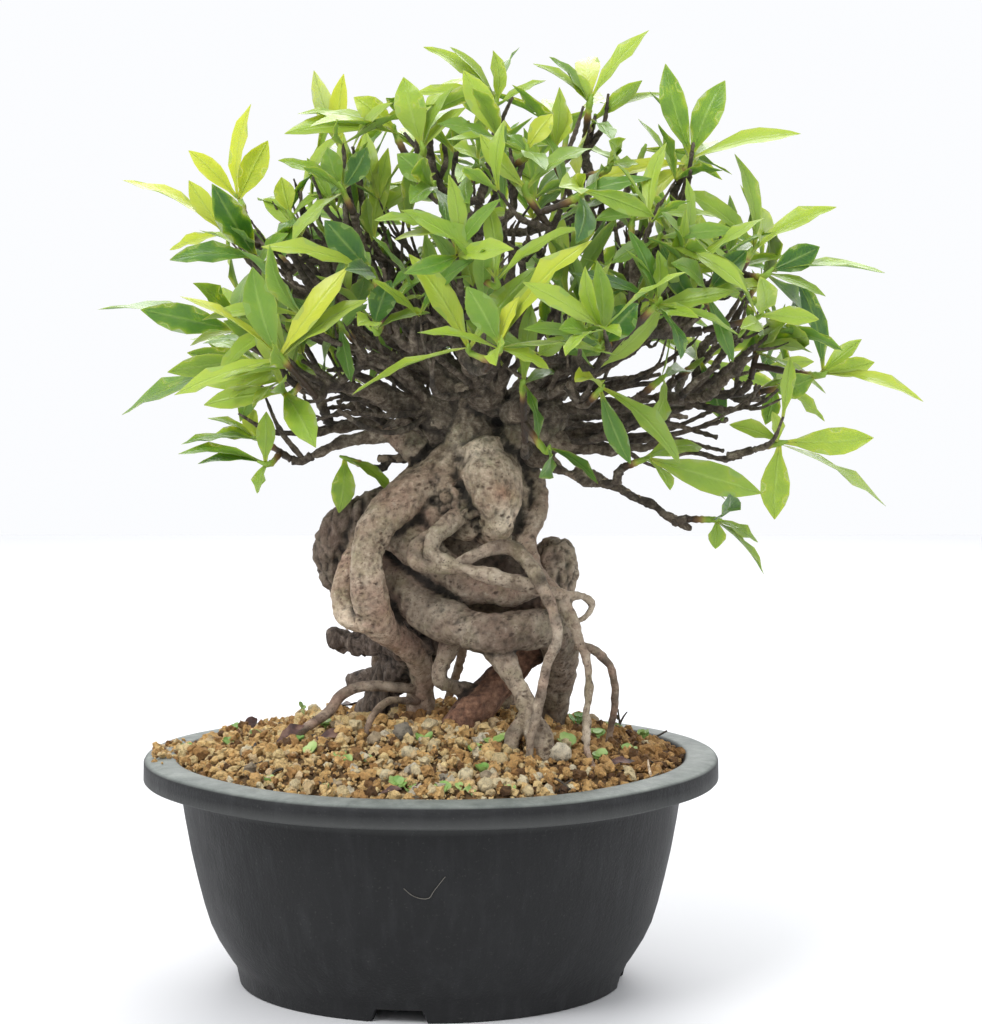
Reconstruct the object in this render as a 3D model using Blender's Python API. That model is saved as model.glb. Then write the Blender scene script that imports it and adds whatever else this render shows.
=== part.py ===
"""Gardenia shohin bonsai in its round training pot, as faceted solids.

Metres, +Z up. The origin is the centre of the pot's foot, on the surface that it stands on, and
the tree's front looks along -Y. Tables and helpers work in millimetres, and a mesh is scaled to
metres when its object is made. The places of roots, limbs, shoots and leaf tips were chosen by
eye from the front and rounded to the millimetre. What the front doesn't show follows rules.
"""

import math
import random

import bmesh
import bpy
import numpy as np
from mathutils import Vector
from mathutils.bvhtree import BVHTree

MM = 0.001
GAP = 0.3
EYE = np.array((18.4, -970.0, 232.6))

POT_HEIGHT = 70.0
RIM_RADIUS = 87.5
RIM_LIP = 5.5
WALL = 2.3
FOOT_RADIUS = 59.2
FOOT_RING = 4.0
FLOOR_UNDER = 6.0
FLOOR_THICK = 2.5
PAD_RADIUS = 12.0
POT_SIDES = 36
WALL_CURVE = ((6.5, 60.4), (10.0, 63.0), (14.5, 65.8), (25.0, 69.8), (41.5, 73.7), (62.9, 77.2))
NOTCH_WIDTH = 14.8
NOTCH_HEIGHT = 4.2
NOTCH_TURNS = (261.0, 351.0, 81.0, 171.0)
DRAIN_RADIUS = 4.5
DRAIN_CIRCLE = 33.0
DRAINS = 6

SOIL_EDGE = 69.0
SOIL_CROWN = 11.5
SOIL_RADIUS = 75.4
SOIL_RINGS = 9
SOIL_SIDES = 30
GRAIN_HEIGHT = 1.3
ROOT_ROOM = 1.0

CANOPY_CENTRE = np.array((20.0, 4.0, 169.0))
MAX_SPRAYS = 57
BACK_SHOOTS = 30
LEAF_LENGTH = 31.0
LEAF_MIN_WIDTH = 6.0
LEAF_MAX_WIDTH = 10.5
RIB_DEPTH = 0.95
STUB_LENGTH = 6.5
STUB_RADIUS = 1.15
FORK_PLACE = 0.37
BUD_LENGTH = 4.0
FIRST_LEAF = 2.4
LEAF_STEP = 0.5
LEAF_ROOM = 0.4
FRONT_LEAVES = 4
BACK_LEAVES = 4
STEM_SIDES = 4
TWIG_SIDES = 4
TWIG_GAP = 0.75
SLIM_TRIES = 42
WOOD_SHARE = 0.6
SPRAY_SHARE = 0.58

# Trunk and roots: rows of x, y, z and radius down each one, and the number of its sides
ROOTS = {
    "trunk": (8, ((13, 0, 183, 6.8), (13, 0, 177, 7.2), (13, 0, 169.5, 9.6), (14.5, -1, 162.5, 12),
                  (16.5, -3, 155.5, 12.4), (18, -7, 148.5, 10.6), (19, -8, 142, 8), (19, -7, 136, 5))),
    "shoulder": (7, ((9, 5, 165, 8), (8, 5, 158.5, 9.6), (5.5, 6, 149, 11), (5.5, 6, 141, 11),
                     (8.5, 5, 132, 9.4), (12, 5, 124, 7))),
    "core": (7, ((-8, 7, 128, 9), (5, 8, 125, 12), (20, 8, 123, 12), (33, 7, 119.5, 9.5))),
    "left arch": (7, ((8, -3, 160, 8.4), (-2, -8, 154, 7), (-9, -13, 148.5, 6.3),
                      (-15, -18, 143, 5.6), (-18, -22, 136.5, 5), (-19, -24, 129.5, 5),
                      (-18, -21.5, 121, 5.7), (-15.5, -17, 113, 5.5), (-10, -9, 106.5, 4.7),
                      (-5, -3, 101, 4.4), (-3, 1, 94.5, 4.2), (-3, 3.5, 87, 4.4), (-5, 5.5, 71, 4.4))),
    "left loop": (6, ((-22.5, -4, 132.5, 2.7), (-25.5, -8, 128, 2.8), (-27, -11, 121.5, 3.1),
                      (-25.5, -15, 115.5, 3.5), (-21, -18.5, 113, 3.8), (-15.5, -20, 115.5, 4.2))),
    "weathered lobe": (6, ((-2, 4, 149, 5), (-14, 0, 147, 4.6), (-24.5, -1, 142.5, 4.8),
                           (-29.5, 0, 136, 4.8), (-31, 2, 129, 4.1), (-28.5, 2.5, 122.5, 3.3),
                           (-24.5, 1, 117, 2.2))),
    "middle band": (7, ((-16, -3, 139.5, 4.5), (-6, -10, 137, 6.9), (2, -11, 129.5, 6),
                        (10.5, -15, 124, 5.3), (18.5, -18, 123, 4.9), (27.5, -17, 122.5, 4.3),
                        (35, -11, 124, 3.4))),
    "great band": (7, ((-15.5, 0, 129, 4.8), (-9, -8, 123, 6.4), (-1.5, -15.5, 116.5, 6.8),
                       (7.5, -21.5, 112, 6.7), (18, -25, 110, 6.6), (28, -23.5, 111, 6.3),
                       (35.5, -18, 110.5, 5.9), (39, -11, 104.5, 5.4), (39.3, -4, 96.5, 5.1),
                       (38.3, 3, 88, 4.9), (36.5, 8, 79.5, 5), (36, 10, 67, 5))),
    "thin root over the front": (5, ((13, -12, 147, 3.4), (6, -22, 143, 2.9), (1.5, -25.5, 139.5, 2.6),
                                     (0.5, -28, 135, 2.4), (5.5, -30, 132, 2.4), (13.5, -32, 129.3, 2.4),
                                     (23, -33, 127, 2.4), (32, -30.5, 124.5, 2), (40.5, -24, 121.6, 1.5),
                                     (46, -20, 120.7, 1.3), (48.8, -18, 117.8, 1.2), (47, -18, 114.4, 1.1),
                                     (43.5, -19, 112.8, 1))),
    "hooked root": (5, ((3, -22, 141, 2.2), (-3.8, -25.5, 136, 2.2), (-3, -28, 131.5, 2.2),
                        (3, -29.5, 130.5, 2), (8, -31, 130.5, 1.8))),
    "long root to the front": (5, ((8, -30, 131, 1.8), (16, -31.5, 135.5, 1.9), (24, -30.5, 136.7, 2.1),
                                   (29.5, -32, 132, 2.2), (33.8, -35, 124.7, 1.8), (37, -37, 117, 1.6),
                                   (37.9, -38, 110, 1.5), (35, -38, 103, 1.5), (32.6, -38.5, 91, 1.6),
                                   (30, -41, 80, 1.3), (29.6, -42.5, 68, 1.1))),
    "right root from the trunk": (5, ((27, -1, 160, 3.4), (32, -3, 154, 3.2), (33, -6, 148, 3.3),
                                      (31, -10, 142, 3.2), (28.8, -13.5, 136.5, 3.1), (31, -16.5, 129.5, 2.7),
                                      (38, -21.5, 121.5, 2.3), (42.8, -26, 113.5, 1.9), (45.8, -27.5, 105, 1.6),
                                      (47.6, -28.2, 96.5, 1.4), (46.8, -30.5, 85.5, 1.3),
                                      (46.6, -36, 78, 1.3), (48.5, -42, 73, 1.1), (50, -45, 64, 1))),
    "outer thin root": (4, ((44, -27.5, 107, 1.5), (50, -23, 104.4, 1.3), (54.8, -18, 98, 1.2),
                            (56, -14.5, 88, 1.2), (54.3, -12.5, 77, 1.1), (53.5, -12, 65, 1))),
    "dark knob": (6, ((36, 0, 114, 4.5), (38.5, 2, 118, 4.8), (40, 4, 123.5, 5.2), (39.3, 5, 129, 5.8),
                      (37.8, 5, 134.5, 4.6))),
    "front leg": (6, ((18, -21, 110, 5), (20.5, -24, 105, 4.5), (24, -26.5, 99, 3.5), (27.5, -29, 92, 2.9),
                      (30.3, -32, 85.7, 3.3), (33, -35, 80, 3.8), (34.2, -37, 74.5, 3.2),
                      (34.8, -38, 67.5, 2.4))),
    "front leg web": (5, ((29.5, -30.5, 87, 2.5), (27.5, -32, 84, 2.6), (24.8, -34, 80, 2.5),
                          (25, -36, 75, 2), (26, -37, 68.5, 1.6))),
    "red leg": (6, ((37, -3, 107, 5), (29.5, 0, 101, 4.7), (22.3, -3, 94, 4.7), (16.3, -7, 88, 4.7),
                    (10.5, -11, 82.5, 4.5), (6.5, -13.5, 75.5, 3.8), (5, -14, 70.5, 3.2))),
    "hook": (5, ((7.5, -16, 112, 3.8), (5.4, -14.3, 104, 3), (3, -15.5, 98, 2.6),
                 (3.3, -15.5, 94.3, 2.5), (7, -11, 92.2, 2.5), (12, -7, 91, 2.4))),
    "dark stub": (6, ((-6, -3, 102.5, 4.4), (-12, 4, 103.3, 4), (-19.5, 9, 102.5, 3),
                      (-25.5, 10, 103, 3.2), (-30.5, 10, 104, 2.7))),
    "dead wood": (6, ((-4.5, -1, 102.5, 5), (-9, 6, 97, 5.4), (-13.5, 10, 91, 5.5),
                      (-18, 10.5, 81.5, 4.7), (-19, 10.5, 71, 4.2))),
    "dead wood spur": (5, ((-13, 10, 91.5, 3), (-17.5, 10, 91.8, 2.8), (-22.7, 10, 91, 2.6),
                           (-25.8, 10, 91, 2.2))),
    "surface root": (4, ((-3, 2, 89, 1.8), (-8, -1.5, 90.2, 1.7), (-20, -5, 91.3, 1.8),
                         (-27, -7.5, 89, 1.8), (-31, -9.5, 84, 1.6), (-38, -13.5, 79.5, 1.4),
                         (-45, -18.5, 74, 1.1), (-48, -20.5, 70, 0.9))),
    "small surface root": (4, ((-4, 1, 86, 1.5), (-8, -8, 87.4, 1.1), (-13, -14, 88, 1.1),
                               (-18, -18, 83, 1), (-20, -20, 74, 0.9))),
    "back left leg": (6, ((0, 12, 135, 8), (-6, 18, 127, 6.8), (-12, 24, 117, 5.6), (-15, 28, 105, 4.8),
                          (-15, 30, 93, 4.3), (-17, 32, 81, 4.6), (-18, 33, 70, 4.2))),
    "back right leg": (6, ((16, 12, 143, 8.4), (24, 18, 131, 7), (29, 24, 119, 5.8), (29, 28, 106, 5),
                           (25, 30, 94, 4.4), (22, 33, 82, 4.7), (21, 34, 69, 4.2))),
    "back band": (6, ((30, 10, 121, 6), (20, 19, 118, 5.8), (8, 23, 116, 5.8), (-4, 20, 118, 5.4),
                      (-13, 12, 123, 5))),
    "back thin root": (5, ((6, 14, 148, 3.2), (3, 21, 139, 2.8), (5, 26, 129, 2.5), (11, 30, 115, 2.2),
                           (9, 32.5, 96, 1.9), (4.5, 39, 81, 1.6), (3, 43, 68, 1.4))),
    "burr": (6, ((24, -4, 167, 5.5), (29, -6, 171, 6.5), (35, -5, 173, 6), (40, -3, 175, 4.4))),
    "left knot": (6, ((-4, -5, 163, 4.5), (-9, -4, 168, 4.4), (-12, -3, 171, 3.6))),
}
# Roots that go down into the soil
SUNK = ("left arch", "great band", "long root to the front", "right root from the trunk",
        "outer thin root", "front leg", "front leg web", "red leg", "dead wood", "surface root",
        "small surface root", "back left leg", "back right leg", "back thin root")

# Limbs: rows of x, y, z and radius from the trunk outwards
LIMB_SIDES = 5
LIMBS = (
    ((8, -1, 173, 6), (-3, -5, 176.5, 4.8), (-14, -12, 180, 3.6), (-25, -22, 183.5, 2.6), (-33, -33, 186, 1.9)),
    ((5, 0, 167, 5), (-9, -2, 168.5, 4), (-22, -6, 167.5, 3), (-33, -9, 163.5, 2.1), (-39, -10, 160.5, 1.6)),
    ((-7, -2, 169, 3.2), (-18, 3, 171, 2.6), (-30, 2, 169.5, 2), (-40, -1, 168, 1.4)),
    ((9, 2, 176, 5), (1, 4, 186, 3.8), (-10, 2, 196, 3), (-21, -4, 205, 2.2), (-31, -9, 213, 1.7)),
    ((6, 6, 181, 4), (0, 8, 194, 3), (-9, 9, 209, 2.3), (-17, 5, 226, 1.7), (-20, -4, 235, 1.4)),
    ((-26, -6, 208, 1.9), (-36, 0, 216, 1.6), (-44, 1, 224, 1.4)),
    ((14, 3, 177, 5), (15, 7, 193, 3.8), (14, 6, 211, 3), (15, 0, 229, 2.2), (15, -12, 240, 1.6)),
    ((19, -3, 177, 4.5), (22, -16, 190, 3.2), (25, -28, 205, 2.4), (28, -38, 219, 1.8), (29, -46, 229, 1.4)),
    ((16, -6, 178, 4), (13, -22, 187, 2.6), (9, -38, 195, 1.9), (4, -49, 205, 1.5)),
    ((24, 2, 175, 5), (38, 6, 189, 3.6), (49, 2, 208, 2.8), (52, -6, 226, 2.1), (51, -10, 243, 1.6)),
    ((28, 0, 176, 5), (50, -6, 187, 3.6), (66, -14, 198, 2.8), (79, -18, 209, 2.2), (88, -14, 216, 1.7)),
    ((54, -7, 190, 2.4), (62, -8, 209, 2), (70, -10, 227, 1.6), (75, -12, 238, 1.4)),
    ((29, -3, 174, 5), (56, -6, 178, 3.6), (76, -8, 180, 2.6), (88, -9, 181, 1.9)),
    ((69, -8, 179, 2.4), (82, -17, 181, 2), (92, -28, 190, 1.6), (95, -33, 194, 1.4)),
    ((30, -4, 168, 4.5), (50, -9, 163.5, 3.2), (66, -16, 165.5, 2.4), (81, -21, 163, 1.9), (93, -26, 163, 1.5)),
    ((31, 0, 166, 4), (50, 4, 169, 3), (66, 8, 172, 2.4), (81, 9, 177, 1.8), (92, 10, 180, 1.4)),
    ((31, -3, 163, 4), (42, -14, 157, 3), (50, -26, 155, 2.2), (56, -33, 156, 1.6)),
    ((44, -12, 157.5, 2), (58, -11, 152, 1.6), (67, -10, 147, 1.5), (74, -14, 142.5, 1.4), (79, -18, 141, 1.2)),
    ((24, -6, 174, 4), (33, -24, 181, 2.8), (41, -42, 185, 2), (46, -55, 188, 1.5)),
    ((26, -4, 177, 4), (40, -22, 189, 2.8), (53, -38, 198, 2.1), (61, -49, 201, 1.5)),
    ((4, -2, 164, 3), (-8, -2, 161, 2), (-16, -2, 161, 1.5)),
    ((13, 3, 176, 5), (8, 22, 185, 3.8), (0, 40, 194, 2.8), (-8, 54, 203, 1.8)),
    ((18, 4, 175, 5), (29, 26, 182, 3.6), (42, 44, 188, 2.6), (52, 56, 195, 1.8)),
    ((9, 4, 171, 4.5), (-8, 22, 174, 3.4), (-22, 36, 177, 2.4), (-32, 45, 180, 1.7)),
    ((26, 2, 172, 4.5), (44, 20, 172, 3.4), (64, 33, 173, 2.5), (80, 42, 176, 1.8)),
    ((17, 4, 179, 4.5), (18, 24, 200, 3.4), (20, 38, 218, 2.4), (22, 45, 233, 1.7)),
    ((16, 4, 167, 4), (20, 28, 165, 3), (18, 48, 165, 2.2), (14, 60, 168, 1.8)),
)

# Shoots seen from the front: x, depth y and z of the base, then its leaves. A leaf is the x and z
# of its tip, whether it leans to the viewer (-1), away (1) or neither (0), and the width it shows.
# x and z are measured in the plane of the trunk, along sight lines from the eye.
FRONT_SHOOTS = (
    ((-61, -8, 228), ((-93, 245, 0, 2.5), (-73, 245, 0, 6.5), (-79, 224, 0, 3.5))),
    ((-57, 4, 238), ((-73, 254, 0, 6), (-54, 268, 0, 5), (-49, 257, 0, 8.5))),
    ((-51, -28, 220), ((-66, 244, -1, 9.5), (-79, 221, 0, 6), (-70, 230, 0, 1.5), (-43, 229, -1, 4.5))),
    ((-41, -12, 233), ((-45, 246, 0, 6.5), (-52, 239, 1, 3.5), (-32, 241, 0, 2.5), (-44, 222, -1, 6))),
    ((-45, -52, 191), ((-76, 210, 0, 1.5), (-54, 219, 0, 9.5), (-25, 219, 0, 7), (-19, 209, 0, 6),
                       (-78, 180, 0, 5.5))),
    ((-58, -22, 199), ((-101, 206, 0, 3), (-88, 206, 0, 9), (-72, 214, -1, 5), (-55, 217, 1, 5),
                       (-73, 195, 0, 2))),
    ((-51, -6, 189), ((-80, 187, 0, 7), (-94, 174, 0, 3.5), (-73, 197, 1, 4.5), (-58, 172, 0, 6))),
    ((-43, -36, 180), ((-69, 177, 0, 6.5), (-35, 164, -1, 9))),
    ((-51, -4, 166), ((-68, 173, 0, 2.5), (-66, 168, 0, 4.5), (-55, 177, 0, 5), (-76, 165, 0, 1.5))),
    ((-49, -12, 159), ((-77, 162, 0, 2.5), (-71, 159, 0, 3.5), (-50, 175, 0, 6), (-53, 150, 0, 4))),
    ((-26, -30, 241), ((-31, 255, 0, 6.5), (-38, 249, 0, 4.5), (-19, 255, 0, 7), (-46, 251, 0, 2.5),
                       (-42, 226, -1, 3.5))),
    ((-26, 12, 252), ((-35, 278, 0, 6.5), (-26, 277, 0, 5.5))),
    ((-10, -15, 258), ((-23, 270, 0, 7.5), (-40, 265, 0, 3.5), (-44, 259, 0, 5.5))),
    ((-2, -28, 253), ((-8, 276, 0, 9.5), (7, 273, 0, 2.5), (11, 267, 0, 3.5), (8, 266, 1, 5))),
    ((2, -38, 241), ((-10, 253, 0, 8), (-6, 238, -1, 5), (5, 231, -1, 4.5))),
    ((21, -30, 255), ((10, 278, 0, 8), (2, 262, 0, 3.5), (33, 252, 0, 4.5))),
    ((20, -5, 267), ((-2, 285, 0, 4.5), (-5, 271, 0, 4), (6, 285, 0, 1.5), (19, 284, 0, 5), (27, 285, 1, 2.5),
                     (35, 275, 0, 2.5))),
    ((29, -42, 252), ((37, 265, 0, 6.5), (23, 259, 0, 3.5), (35, 248, -1, 4.5))),
    ((37, -22, 252), ((41, 268, 0, 6), (39, 273, 0, 5), (32, 265, 1, 3.5))),
    ((29, -56, 241), ((44, 259, 0, 6.5), (15, 259, 0, 6))),
    ((14, -46, 248), ((7, 255, -1, 2.5), (21, 252, -1, 2.5), (12, 238, -1, 3.5))),
    ((7, -62, 228), ((12, 240, 0, 5), (-17, 233, 0, 3.5), (-11, 227, 0, 2.5), (13, 213, 0, 6))),
    ((20, -70, 213), ((-9, 236, 0, 4.5), (47, 231, 0, 3.5))),
    ((21, -78, 194), ((11, 213, 0, 8.5), (27, 210, 0, 4.5), (49, 227, 0, 5.5), (57, 192, 0, 2),
                      (36, 188, 0, 3.5), (-4, 199, 0, 2), (20, 189, -1, 4.5))),
    ((12, -66, 193), ((-24, 180, 0, 2), (33, 219, 1, 6))),
    ((-17, -44, 216), ((-32, 233, 0, 9.5), (-26, 218, -1, 6), (-24, 225, 1, 4.5))),
    ((-16, -54, 199), ((-12, 215, 0, 8), (5, 220, 0, 1.5), (0, 205, 0, 2), (-22, 201, -1, 2.5))),
    ((-26, -38, 200), ((-24, 184, 0, 4.5), (-37, 209, 0, 4.5), (-32, 187, 1, 3))),
    ((48, -14, 267), ((66, 290, 0, 4.5), (48, 282, 1, 8), (43, 277, 0, 5), (31, 280, 0, 2), (36, 282, 0, 2))),
    ((49, -4, 261), ((64, 275, 0, 5.5), (71, 271, 0, 2.5), (45, 245, -1, 2.5), (55, 257, -1, 3))),
    ((78, -14, 250), ((71, 280, 0, 8), (89, 275, 0, 9), (112, 259, 0, 4), (91, 255, 1, 3.5),
                      (66, 272, 0, 1.5), (49, 244, 0, 4.5), (62, 238, 0, 5.5))),
    ((45, -58, 240), ((68, 234, 0, 6), (39, 243, -1, 3), (47, 247, -1, 3.5), (44, 226, -1, 6))),
    ((53, -22, 248), ((54, 257, -1, 2.5), (58, 254, -1, 2.5), (63, 250, 0, 3), (50, 241, -1, 3))),
    ((61, -44, 232), ((83, 235, 0, 4), (50, 233, 0, 3.5), (64, 242, 1, 4.5))),
    ((68, -50, 226), ((81, 207, 0, 6), (93, 230, 0, 4.5), (55, 220, 0, 4.5))),
    ((97, -12, 223), ((76, 242, 0, 5), (92, 253, 0, 5), (96, 240, 0, 2.5), (100, 237, -1, 2.5),
                      (123, 237, 0, 4.5))),
    ((101, -24, 216), ((118, 225, 0, 8), (138, 217, 0, 1.5), (120, 210, 0, 3), (114, 203, 1, 3.5))),
    ((98, -44, 203), ((100, 216, -1, 6), (118, 203, 0, 5), (78, 230, 0, 2.5))),
    ((68, -64, 207), ((60, 230, 0, 4.5), (69, 224, 0, 4.5), (43, 217, 0, 2.5), (94, 198, 0, 2.5),
                      (76, 191, -1, 3.5))),
    ((83, -50, 210), ((96, 224, 0, 7.5), (94, 211, 0, 4), (92, 190, 0, 5), (73, 220, -1, 4.5))),
    ((51, -70, 194), ((53, 217, 0, 6), (63, 208, 0, 9), (39, 200, -1, 3))),
    ((51, -52, 181), ((76, 159, 0, 5.5), (44, 184, -1, 2.5), (61, 159, 0, 6))),
    ((100, -6, 196), ((108, 202, -1, 6), (111, 195, 0, 3.5), (93, 203, 1, 3.5))),
    ((117, -16, 186), ((111, 215, 0, 6), (131, 197, 0, 5), (135, 190, 0, 6), (150, 178, 0, 3.5),
                       (105, 181, 0, 8))),
    ((103, 10, 183), ((100, 193, 0, 3.5), (102, 171, 0, 6), (120, 172, 0, 2.5))),
    ((105, -30, 165), ((135, 167, 0, 8.5), (91, 171, 0, 4.5), (105, 142, 0, 9), (139, 146, 0, 1.5),
                       (104, 175, 0, 3.5))),
    ((64, -40, 160), ((101, 150, 0, 9.5), (90, 148, 0, 3), (73, 151, -1, 1.5), (83, 164, 1, 6))),
    ((85, -22, 142), ((87, 133, 0, 5), (100, 135, 0, 3), (102, 125, 0, 2), (91, 150, -1, 3))),
    ((80, 0, 189), ((89, 172, 0, 7), (73, 195, 1, 3.5))),
    ((69, -26, 184), ((66, 170, -1, 4.5), (79, 187, 1, 3.5))),
    ((28, -38, 182), ((33, 166, 0, 3.5), (39, 187, 1, 3))),
    ((35, -36, 163), ((51, 153, 0, 3), (33, 155, -1, 3))),
    ((-24, -2, 160), ((-28, 144, 0, 7.5), (-12, 150, 0, 3.5))),
)

# Outline of the dense crown from the front, x and z in the trunk's plane. Leaves by rule stay inside it.
CROWN_OUTLINE = (
    (-80, 193), (-75, 220), (-60, 240), (-48, 244), (-42, 257), (-33, 267), (-15, 269), (-1, 278), (21, 276),
    (39, 272), (51, 273), (72, 263), (86, 261), (97, 238), (111, 229), (119, 200), (128, 193), (126, 183),
    (105, 171), (79, 194), (64, 197), (39, 179), (12, 193), (-20, 204), (-34, 193), (-43, 181), (-59, 172),
    (-71, 179))


def unit(vector):
    return vector / np.linalg.norm(vector)


def from_front(x, y, z):
    """Point at depth y that shows at x, z in the plane of the trunk."""
    scale = (y - EYE[1]) / -EYE[1]
    return np.array((EYE[0] + (x - EYE[0]) * scale, y, EYE[2] + (z - EYE[2]) * scale))


def material(name, colour, roughness):
    """Plain Principled material."""
    made = bpy.data.materials.new(name)
    made.use_nodes = True
    shader = made.node_tree.nodes["Principled BSDF"]
    shader.inputs["Base Color"].default_value = (*colour, 1.0)
    shader.inputs["Roughness"].default_value = roughness
    shader.inputs["Metallic"].default_value = 0.0
    return made


def mesh_object(name, solid, finish, smooth_angle=None):
    """Object in metres from a solid in millimetres, its faces pointing out."""
    points, faces = solid
    mesh = bpy.data.meshes.new(name)
    mesh.from_pydata([tuple(point) for point in np.asarray(points) * MM], [], [tuple(face) for face in faces])
    editor = bmesh.new()
    editor.from_mesh(mesh)
    bmesh.ops.recalc_face_normals(editor, faces=editor.faces)
    editor.to_mesh(mesh)
    editor.free()
    mesh.materials.append(finish)
    if smooth_angle is not None:
        mesh.shade_smooth()
        mesh.set_sharp_from_angle(angle=math.radians(smooth_angle))
    made = bpy.data.objects.new(name, mesh)
    bpy.context.scene.collection.objects.link(made)
    return made


def tube(route, sides):
    """Closed tube through rows of x, y, z and radius, its rings square to the route."""
    rows = np.asarray(route, dtype=float)
    points, radii = rows[:, :3], rows[:, 3]
    steps = np.diff(points, axis=0)
    steps /= np.linalg.norm(steps, axis=1)[:, None]
    tangents = np.vstack((steps[:1], steps[:-1] + steps[1:], steps[-1:]))
    tangents /= np.linalg.norm(tangents, axis=1)[:, None]
    side = np.array((1.0, 0.0, 0.0)) if abs(tangents[0][0]) < 0.8 else np.array((0.0, 1.0, 0.0))
    turns = 2 * np.pi * np.arange(sides) / sides
    rings = []
    for point, tangent, radius in zip(points, tangents, radii):
        side = unit(side - tangent * side.dot(tangent))
        other = np.cross(tangent, side)
        rings.append(point + radius * (np.outer(np.cos(turns), side) + np.outer(np.sin(turns), other)))
    faces = []
    for ring in range(len(rings) - 1):
        for k in range(sides):
            a, b = ring * sides + k, ring * sides + (k + 1) % sides
            faces.append((a, b, b + sides, a + sides))
    last = (len(rings) - 1) * sides
    faces.append(tuple(reversed(range(sides))))
    faces.append(tuple(range(last, last + sides)))
    return np.vstack(rings), faces


def turned(profile, sides):
    """Closed solid turned round Z from (radius, z) points that start and end on the axis."""
    turns = 2 * np.pi * np.arange(sides) / sides
    inner = profile[1:-1]
    rings = [np.column_stack((r * np.cos(turns), r * np.sin(turns), np.full(sides, z))) for r, z in inner]
    points = np.vstack(rings + [(0.0, 0.0, profile[0][1]), (0.0, 0.0, profile[-1][1])])
    first_pole, last_pole = len(inner) * sides, len(inner) * sides + 1
    faces = []
    for ring in range(len(inner) - 1):
        for k in range(sides):
            a, b = ring * sides + k, ring * sides + (k + 1) % sides
            faces.append((a, b, b + sides, a + sides))
    last = (len(inner) - 1) * sides
    for k in range(sides):
        faces.append((first_pole, (k + 1) % sides, k))
        faces.append((last_pole, last + k, last + (k + 1) % sides))
    return points, faces


def cutter_collection(name, solids, finish):
    """Hidden cutters in a collection of their own."""
    group = bpy.data.collections.new(name)
    bpy.context.scene.collection.children.link(group)
    for number, solid in enumerate(solids):
        cutter = mesh_object(f"{name}_{number:02d}", solid, finish)
        bpy.context.scene.collection.objects.unlink(cutter)
        group.objects.link(cutter)
        cutter.hide_render = True
        cutter.display_type = "WIRE"
    return group


def cut(target, group):
    modifier = target.modifiers.new("cut", "BOOLEAN")
    modifier.operation = "DIFFERENCE"
    modifier.operand_type = "COLLECTION"
    modifier.collection = group
    modifier.solver = "EXACT"


def keep_largest(editor):
    """Drops all but the largest connected piece of a mesh in the editor."""
    todo = set(editor.verts)
    pieces = []
    while todo:
        stack = [todo.pop()]
        piece = set(stack)
        while stack:
            for edge in stack.pop().link_edges:
                for point in edge.verts:
                    if point in todo:
                        todo.remove(point)
                        piece.add(point)
                        stack.append(point)
        pieces.append(piece)
    pieces.sort(key=len)
    for piece in pieces[:-1]:
        bmesh.ops.delete(editor, geom=list(piece), context="VERTS")


def is_sound(editor):
    """True where every edge has two faces and no two faces cross that share no corner."""
    if any(len(edge.link_faces) != 2 for edge in editor.edges):
        return False
    tree = BVHTree.FromBMesh(editor)
    editor.faces.ensure_lookup_table()
    for a, b in tree.overlap(tree):
        if a < b and not set(editor.faces[a].verts) & set(editor.faces[b].verts):
            return False
    return True


def slim(body, share):
    """Leaves out the smallest facets of a fused body, down to about this share of them."""
    slimmer = body.modifiers.new("slim", "DECIMATE")
    for step in range(SLIM_TRIES):
        slimmer.ratio = min(1.0, share + 0.01 * step)
        evaluated = body.evaluated_get(bpy.context.evaluated_depsgraph_get())
        slimmed = bpy.data.meshes.new_from_object(evaluated)
        editor = bmesh.new()
        editor.from_mesh(slimmed)
        bmesh.ops.triangulate(editor, faces=editor.faces)
        sound = is_sound(editor)
        editor.to_mesh(slimmed)
        editor.free()
        if sound:
            break
    body.modifiers.remove(slimmer)
    body.data = slimmed
    return sound


def fuse(name, solids, finish, share, smooth_angle=None):
    """One object from closed solids that run into each other, by one union on a collection."""
    body = mesh_object(name, solids[0], finish, smooth_angle)
    group = bpy.data.collections.new(name + "_parts")
    bpy.context.scene.collection.children.link(group)
    for number, solid in enumerate(solids[1:]):
        piece = mesh_object(f"{name}_part_{number:03d}", solid, finish, smooth_angle)
        bpy.context.scene.collection.objects.unlink(piece)
        group.objects.link(piece)
    start = body.data
    for solver in ("MANIFOLD", "EXACT"):
        body.data = start
        union = body.modifiers.new("union", "BOOLEAN")
        union.operation = "UNION"
        union.operand_type = "COLLECTION"
        union.collection = group
        union.solver = solver
        bpy.context.view_layer.update()
        evaluated = body.evaluated_get(bpy.context.evaluated_depsgraph_get())
        joined = bpy.data.meshes.new_from_object(evaluated)
        body.modifiers.remove(union)
        editor = bmesh.new()
        editor.from_mesh(joined)
        keep_largest(editor)
        bmesh.ops.triangulate(editor, faces=editor.faces)
        editor.to_mesh(joined)
        editor.free()
        body.data = joined
        if slim(body, share):
            break
        print(name, "isn't sound with", solver)
    for piece in list(group.objects):
        bpy.data.objects.remove(piece, do_unlink=True)
    bpy.data.collections.remove(group)
    return body


def box(centre, size, turn):
    """Box turned round Z about its centre, in degrees."""
    half = np.array(size) / 2
    corners = np.array([(i, j, k) for k in (-1, 1) for j in (-1, 1) for i in (-1, 1)]) * half
    c, s = math.cos(math.radians(turn)), math.sin(math.radians(turn))
    spun = corners @ np.array(((c, s, 0), (-s, c, 0), (0, 0, 1)))
    faces = ((0, 1, 3, 2), (4, 6, 7, 5), (0, 4, 5, 1), (2, 3, 7, 6), (0, 2, 6, 4), (1, 5, 7, 3))
    return spun + np.array(centre), faces


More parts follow.
